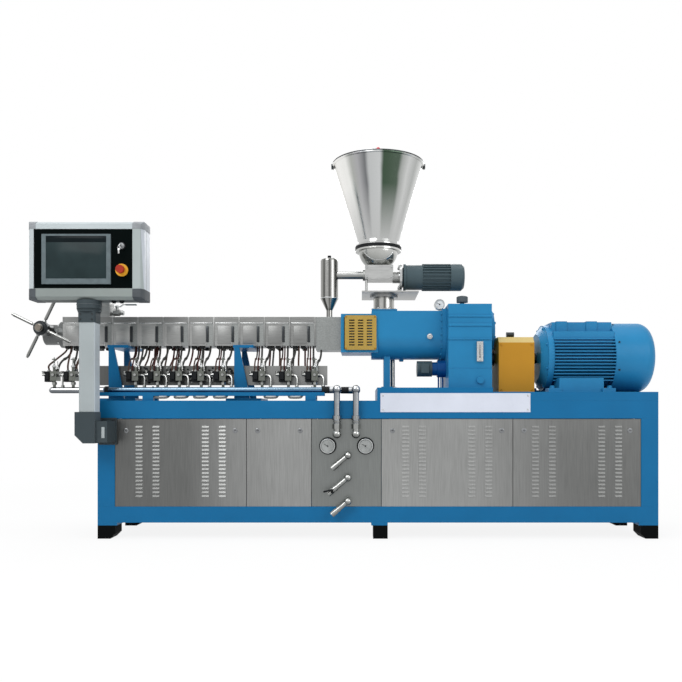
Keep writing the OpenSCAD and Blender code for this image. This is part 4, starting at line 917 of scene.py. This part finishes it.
RIM_R, BOWL_R, BOWL_Z = 262, 112, 1604
with Piece("rim_clips", dark_steel, "dark_steel") as p:
    for x in (HOPPER_X - RIM_R, HOPPER_X + RIM_R):
        p.block((x - 7, x + 7), (-12, 12), (2072, 2098), 2)
        p.lathe((x, -14, 2084), FRONT, [(-3, 5), (2, 5), (4, 3)], 12)
with Piece("rim_roll", dark_steel, "dark_steel") as p:
    p.ring((HOPPER_X, 0, 2089), UP, 256, RIM_R + 0.4, 7, 72)
with Piece("feeder_bolts", bright_steel, "pipe_steel") as p:
    p.bolt_circle((129, 0, 1449), LEFT, 66, 6, 13, 9)
    p.bolt_circle((STAND_X, 0, 1265), UP, 65, 6, 10, 7)
    for side, way in ((-1, FRONT), (1, BACK)):
        p.screw_grid((-58, 81), side * 66, (1443, 1498), way, 12, 6)
with Piece("drop_rings", bright_steel, "polished_steel") as p:
    p.ring((DROP_X, 0, 1326), UP, 49.5, 52, 6)
    p.ring((DROP_X, 0, 1213), UP, 17, 30, 8)
with Piece("bowl_window", bright_steel, "polished_steel") as p:
    edge = []
    for degrees in range(200, 341, 10):
        a = math.radians(degrees)
        across, rise = 84 * math.cos(a), 70 * math.sin(a)
        depth = math.sqrt(BOWL_R ** 2 - across ** 2 - rise ** 2) + 0.5
        edge.append((HOPPER_X + across, -depth, BOWL_Z + rise))
    p.tube(edge, 3, 8, 3)

# Control arm and panel

SWIVEL_X, SWIVEL_Y = -1503, -395
BOX_BACK = -331
SEAM_DEPTH = (-398, -396.6)
SCREEN_XS = (-1702, -1393)
box_low, box_high = span("control_box")
# Depth of each section of a corner cap, and how far it stands out of the box there
CORNER_SECTIONS = ((-456.4, -12.6), (-432, 1.3), (-334, 1.3))
# The top caps take the lit grey and the low caps the shaded grey: painted light and shade.
CORNERS = (
    ("box_top_corners", corner_light, box_high.z, box_high.z - 40),
    ("box_low_corners", corner_grey, box_low.z, box_low.z + 54),
)
for name, material, outer_z, inner_z in CORNERS:
    with Piece(name, material, "arm_grey", "control_panel") as p:
        for outer_x, inner_x in ((box_low.x, box_low.x + 43), (box_high.x, box_high.x - 55)):
            side = math.copysign(1, outer_x - inner_x)
            rise = math.copysign(1, outer_z - inner_z)
            rings = []
            for y, grow in CORNER_SECTIONS:
                x, z = outer_x + side * grow, outer_z + rise * grow
                flat = [(inner_x, y, z), (inner_x, y, inner_z), (x, y, inner_z)]
                rings.append([(x - side * 3, y, z), *flat, (x, y, z - rise * 3)])
            p.skin(rings)
with Piece("box_back", box_aluminium, "panel_steel", "control_panel") as p:
    p.block((-1765, -1241), (BOX_BACK - 4.5, BOX_BACK), (1290, 1622), 1.5)
with Piece("box_back_screws", dark_steel, "dark_steel", "control_panel") as p:
    p.screw_grid((-1752, -1503, -1254), BOX_BACK, (1303, 1609), BACK, 11, 4)
with Piece("box_seams", dark_steel, "dark_steel", "control_panel") as p:
    for x in (box_low.x - 0.4, box_high.x - 0.2):
        p.block((x, x + 0.6), SEAM_DEPTH, (1309, 1616), 0.1)
    p.block((-1767, -1261), SEAM_DEPTH, (1655.6, 1656.3), 0.1)
with Piece("screen_glass", screen_dark, "black_plastic", "control_panel") as p:
    p.block(SCREEN_XS, (-459.4, -457.6), (1360, 1546), 0.4)
with Piece("screen_strip", strip_dark, "black_plastic", "control_panel") as p:
    p.block(SCREEN_XS, (-459.5, -457.6), (1546, 1578), 0.4)
with Piece("switch_barrel", lock_grey, "polished_steel", "control_panel") as p:
    p.lathe((KEY_X, -463, KEY_Z), FRONT, [(0, 11), (2, 11), (2, 6), (1, 6)], 28)
with Piece("switch_key", bright_steel, "polished_steel", "control_panel") as p:
    p.block((KEY_X - 1.2, KEY_X + 1.2), (-476, -462), (KEY_Z - 4, KEY_Z + 4), 0.4)
    p.lathe((KEY_X - 1.5, -481, KEY_Z - 2), RIGHT, [(0, 8), (0.6, 9), (2.4, 9), (3, 8)], 24)
    p.ring((KEY_X - 6, -483, KEY_Z - 12), FRONT, 6.5, 8, 1.6)
    p.block((KEY_X - 11, KEY_X - 3), (-484.5, -482.5), (KEY_Z - 44, KEY_Z - 18), 0.6)
with Piece("switch_collar", black_plastic, "black_plastic", "control_panel") as p:
    p.ring((KEY_X, -451, KEY_Z), FRONT, 15, 19, 5)
with Piece("cable_glands", black_plastic, "black_plastic", "control_panel") as p:
    for x in (-1375, -1334):
        p.lathe((x, SWIVEL_Y, 1256), DOWN, [(0, 13), (6, 13), (6, 10), (13, 9)], 12)
with Piece("swivel_lips", arm_light, "arm_grey", "control_panel") as p:
    p.ring((SWIVEL_X, SWIVEL_Y, 1231), UP, 62, 64, 3.5, 56)
with Piece("coupling_lip", arm_grey, "arm_grey") as p:
    p.ring((SWIVEL_X, SWIVEL_Y, 1203), UP, 57, 60.5, 5, 56)
with Piece("coupling_screws", dark_steel, "dark_steel") as p:
    p.screw_grid((SWIVEL_X - 30, SWIVEL_X + 30), -440.5, (1154, 1182), FRONT, 9, 3)
with Piece("arm_label_strip", column_grey, "column_grey") as p:
    p.block((-1430, -1414), (-426.5, -424.5), (543, 600), 0.5)
with Piece("arm_bolts", dark_steel, "dark_steel") as p:
    for z in (520, 632):
        for x in (-1478, -1409):
            p.hex_bolt((x, -297, z), FRONT, 15, 8)

# Star wheel and vent

STAR_TURN = math.radians(64)
STAR_CENTRE = Vector((STAR.x, -150, STAR.z))
SPOKES = [Vector((math.cos(a), 0, math.sin(a))) for a in round_angles(4, STAR_TURN)]
star_low, star_high = span("star_wheel")
SLEEVE_END = (star_high.z - star_low.z) / 2 / math.sin(STAR_TURN) - 64
with Piece("star_cap", hub_steel, "dark_steel", "star_wheel") as p:
    p.lathe((STAR.x, -186, STAR.z), FRONT, [(0, 11), (0, 19), (9, 19), (12, 16), (12, 0)], 28)
with Piece("star_ring", dark_steel, "dark_steel", "star_wheel") as p:
    p.ring((STAR.x, -164, STAR.z), FRONT, 23, 33, 5)
with Piece("star_grips", stub_steel, "polished_steel", "star_wheel") as p:
    for way in SPOKES:
        p.lathe(STAR_CENTRE + way * 36, way, [(0, 10), (9, 10), (12, 8)], 16)
with Piece("star_sleeves", spoke_steel, "polished_steel", "star_wheel") as p:
    for way in SPOKES:
        sleeve = [(0, 7), (2, 9), (SLEEVE_END - 2, 9), (SLEEVE_END, 7)]
        p.lathe(STAR_CENTRE + way * 52, way, sleeve, 18)
with Piece("lever_nut", bright_steel, "pipe_steel", "vent_handle") as p:
    p.ring((-1490.4, 0, 1283.5), UP, 6.5, 10, 5, 6)
with Piece("lever_grip", bezel_grey, "black_plastic", "vent_handle") as p:
    p.block((-1442, -1377.5), (-9, 9), (1289.8, 1296.8), 2.5)
VENT_TOP, VENT_PIPE_Z = 1304, 1247
with Piece("vent_nuts", bright_steel, "pipe_steel") as p:
    p.lathe((-1517.4, 0, VENT_PIPE_Z), RIGHT, [(0, 19), (8, 19), (10, 16)], 6)
    p.lathe((-1456, 0, VENT_PIPE_Z), RIGHT, [(-8, 16), (4, 16), (6, 13)], 6)
    p.bolt_circle((-1547.4, 0, VENT_TOP), UP, 18, 4, 9, 5, 0.785)
with Piece("vent_cap", stand_steel, "polished_steel") as p:
    p.block((-1575, -1520), (-40, 40), (1278.6, VENT_TOP), 2)


# Floor, light and camera

WHITE = (1.0, 1.0, 1.0, 1.0)
FLOOR_GREY = (0.92, 0.92, 0.92, 1.0)
FLOOR_REACH = 30.0
EYE = at(-91, -4217, 672.5)
AIM = at(0, 0, 900)
# Name, place, width, height and power of each area lamp
LAMPS = (
    ("key", (-2600, -4200, 4200), 3.0, 2.4, 128),
    ("fill", (3400, -3600, 2600), 2.6, 2.6, 52),
    ("top", (0, -400, 5200), 5.0, 2.2, 102),
    ("back", (600, 4600, 3600), 4.0, 2.0, 94),
)


def make_floor():
    """A pale floor that keeps the soft shadow and fades to white away from the machine."""
    bm = bmesh.new()
    bmesh.ops.create_circle(bm, cap_ends=True, segments=64, radius=FLOOR_REACH)
    mesh = bpy.data.meshes.new("floor")
    bm.to_mesh(mesh)
    bm.free()
    floor = bpy.data.objects.new("floor", mesh)
    scene.collection.objects.link(floor)
    look = Look("floor_pale", 0.8, specular=0.1)
    look.set("Base Color", FLOOR_GREY)
    away = look.node("ShaderNodeVectorMath", [(0, look.place)], operation="LENGTH").outputs["Value"]
    fade = look.range(away, 0.88, 1.0, 2.0, 4.5)
    glow = look.node("ShaderNodeEmission", [("Color", WHITE), ("Strength", 1.0)]).outputs["Emission"]
    path = look.node("ShaderNodeLightPath").outputs
    seen = look.maths("MAXIMUM", path["Is Camera Ray"], path["Is Glossy Ray"])
    blend = look.node("ShaderNodeMixShader", [(0, look.maths("MULTIPLY", fade, seen))])
    look.tree.links.new(look.shader.outputs["BSDF"], blend.inputs[1])
    look.tree.links.new(glow, blend.inputs[2])
    look.tree.links.new(blend.outputs["Shader"], look.tree.nodes["Material Output"].inputs["Surface"])
    mesh.materials.append(look.material)


def make_world():
    """Even white surroundings: plain light on the machine, white where they are seen or mirrored."""
    world = bpy.data.worlds.new("studio")
    scene.world = world
    world.use_nodes = True
    tree = world.node_tree
    light = tree.nodes["Background"]
    backdrop = tree.nodes.new("ShaderNodeBackground")
    for background, strength in ((light, 0.5), (backdrop, 1.0)):
        background.inputs["Color"].default_value = WHITE
        background.inputs["Strength"].default_value = strength
    path = tree.nodes.new("ShaderNodeLightPath").outputs
    seen = path["Is Camera Ray"]
    for ray in ("Is Glossy Ray", "Is Transmission Ray"):
        most = tree.nodes.new("ShaderNodeMath")
        most.operation = "MAXIMUM"
        tree.links.new(seen, most.inputs[0])
        tree.links.new(path[ray], most.inputs[1])
        seen = most.outputs["Value"]
    blend = tree.nodes.new("ShaderNodeMixShader")
    tree.links.new(seen, blend.inputs[0])
    tree.links.new(light.outputs["Background"], blend.inputs[1])
    tree.links.new(backdrop.outputs["Background"], blend.inputs[2])
    tree.links.new(blend.outputs["Shader"], tree.nodes["World Output"].inputs["Surface"])


def add_lamp(name, place, width, height, power):
    """An area lamp that shines on the middle of the machine."""
    lamp = bpy.data.lights.new(name, "AREA")
    lamp.shape = "RECTANGLE"
    lamp.size = width
    lamp.size_y = height
    lamp.energy = power
    lamp.specular_factor = 0.35
    holder = bpy.data.objects.new(name, lamp)
    holder.location = place
    holder.rotation_euler = (AIM - place).to_track_quat("-Z", "Y").to_euler()
    scene.collection.objects.link(holder)


def make_camera():
    """Level camera in front of the base, with the photograph's framing."""
    camera = bpy.data.cameras.new("camera")
    camera.sensor_width = 36.0
    camera.lens = 38.8
    camera.shift_x = -0.0293
    camera.shift_y = 0.1056
    holder = bpy.data.objects.new("camera", camera)
    holder.location = EYE
    holder.rotation_euler = (math.pi / 2, 0, 0)
    scene.collection.objects.link(holder)
    scene.camera = holder


make_floor()
make_world()
for name, place, width, height, power in LAMPS:
    add_lamp(name, at(*place), width, height, power)
make_camera()
scene.view_settings.view_transform = "Standard"
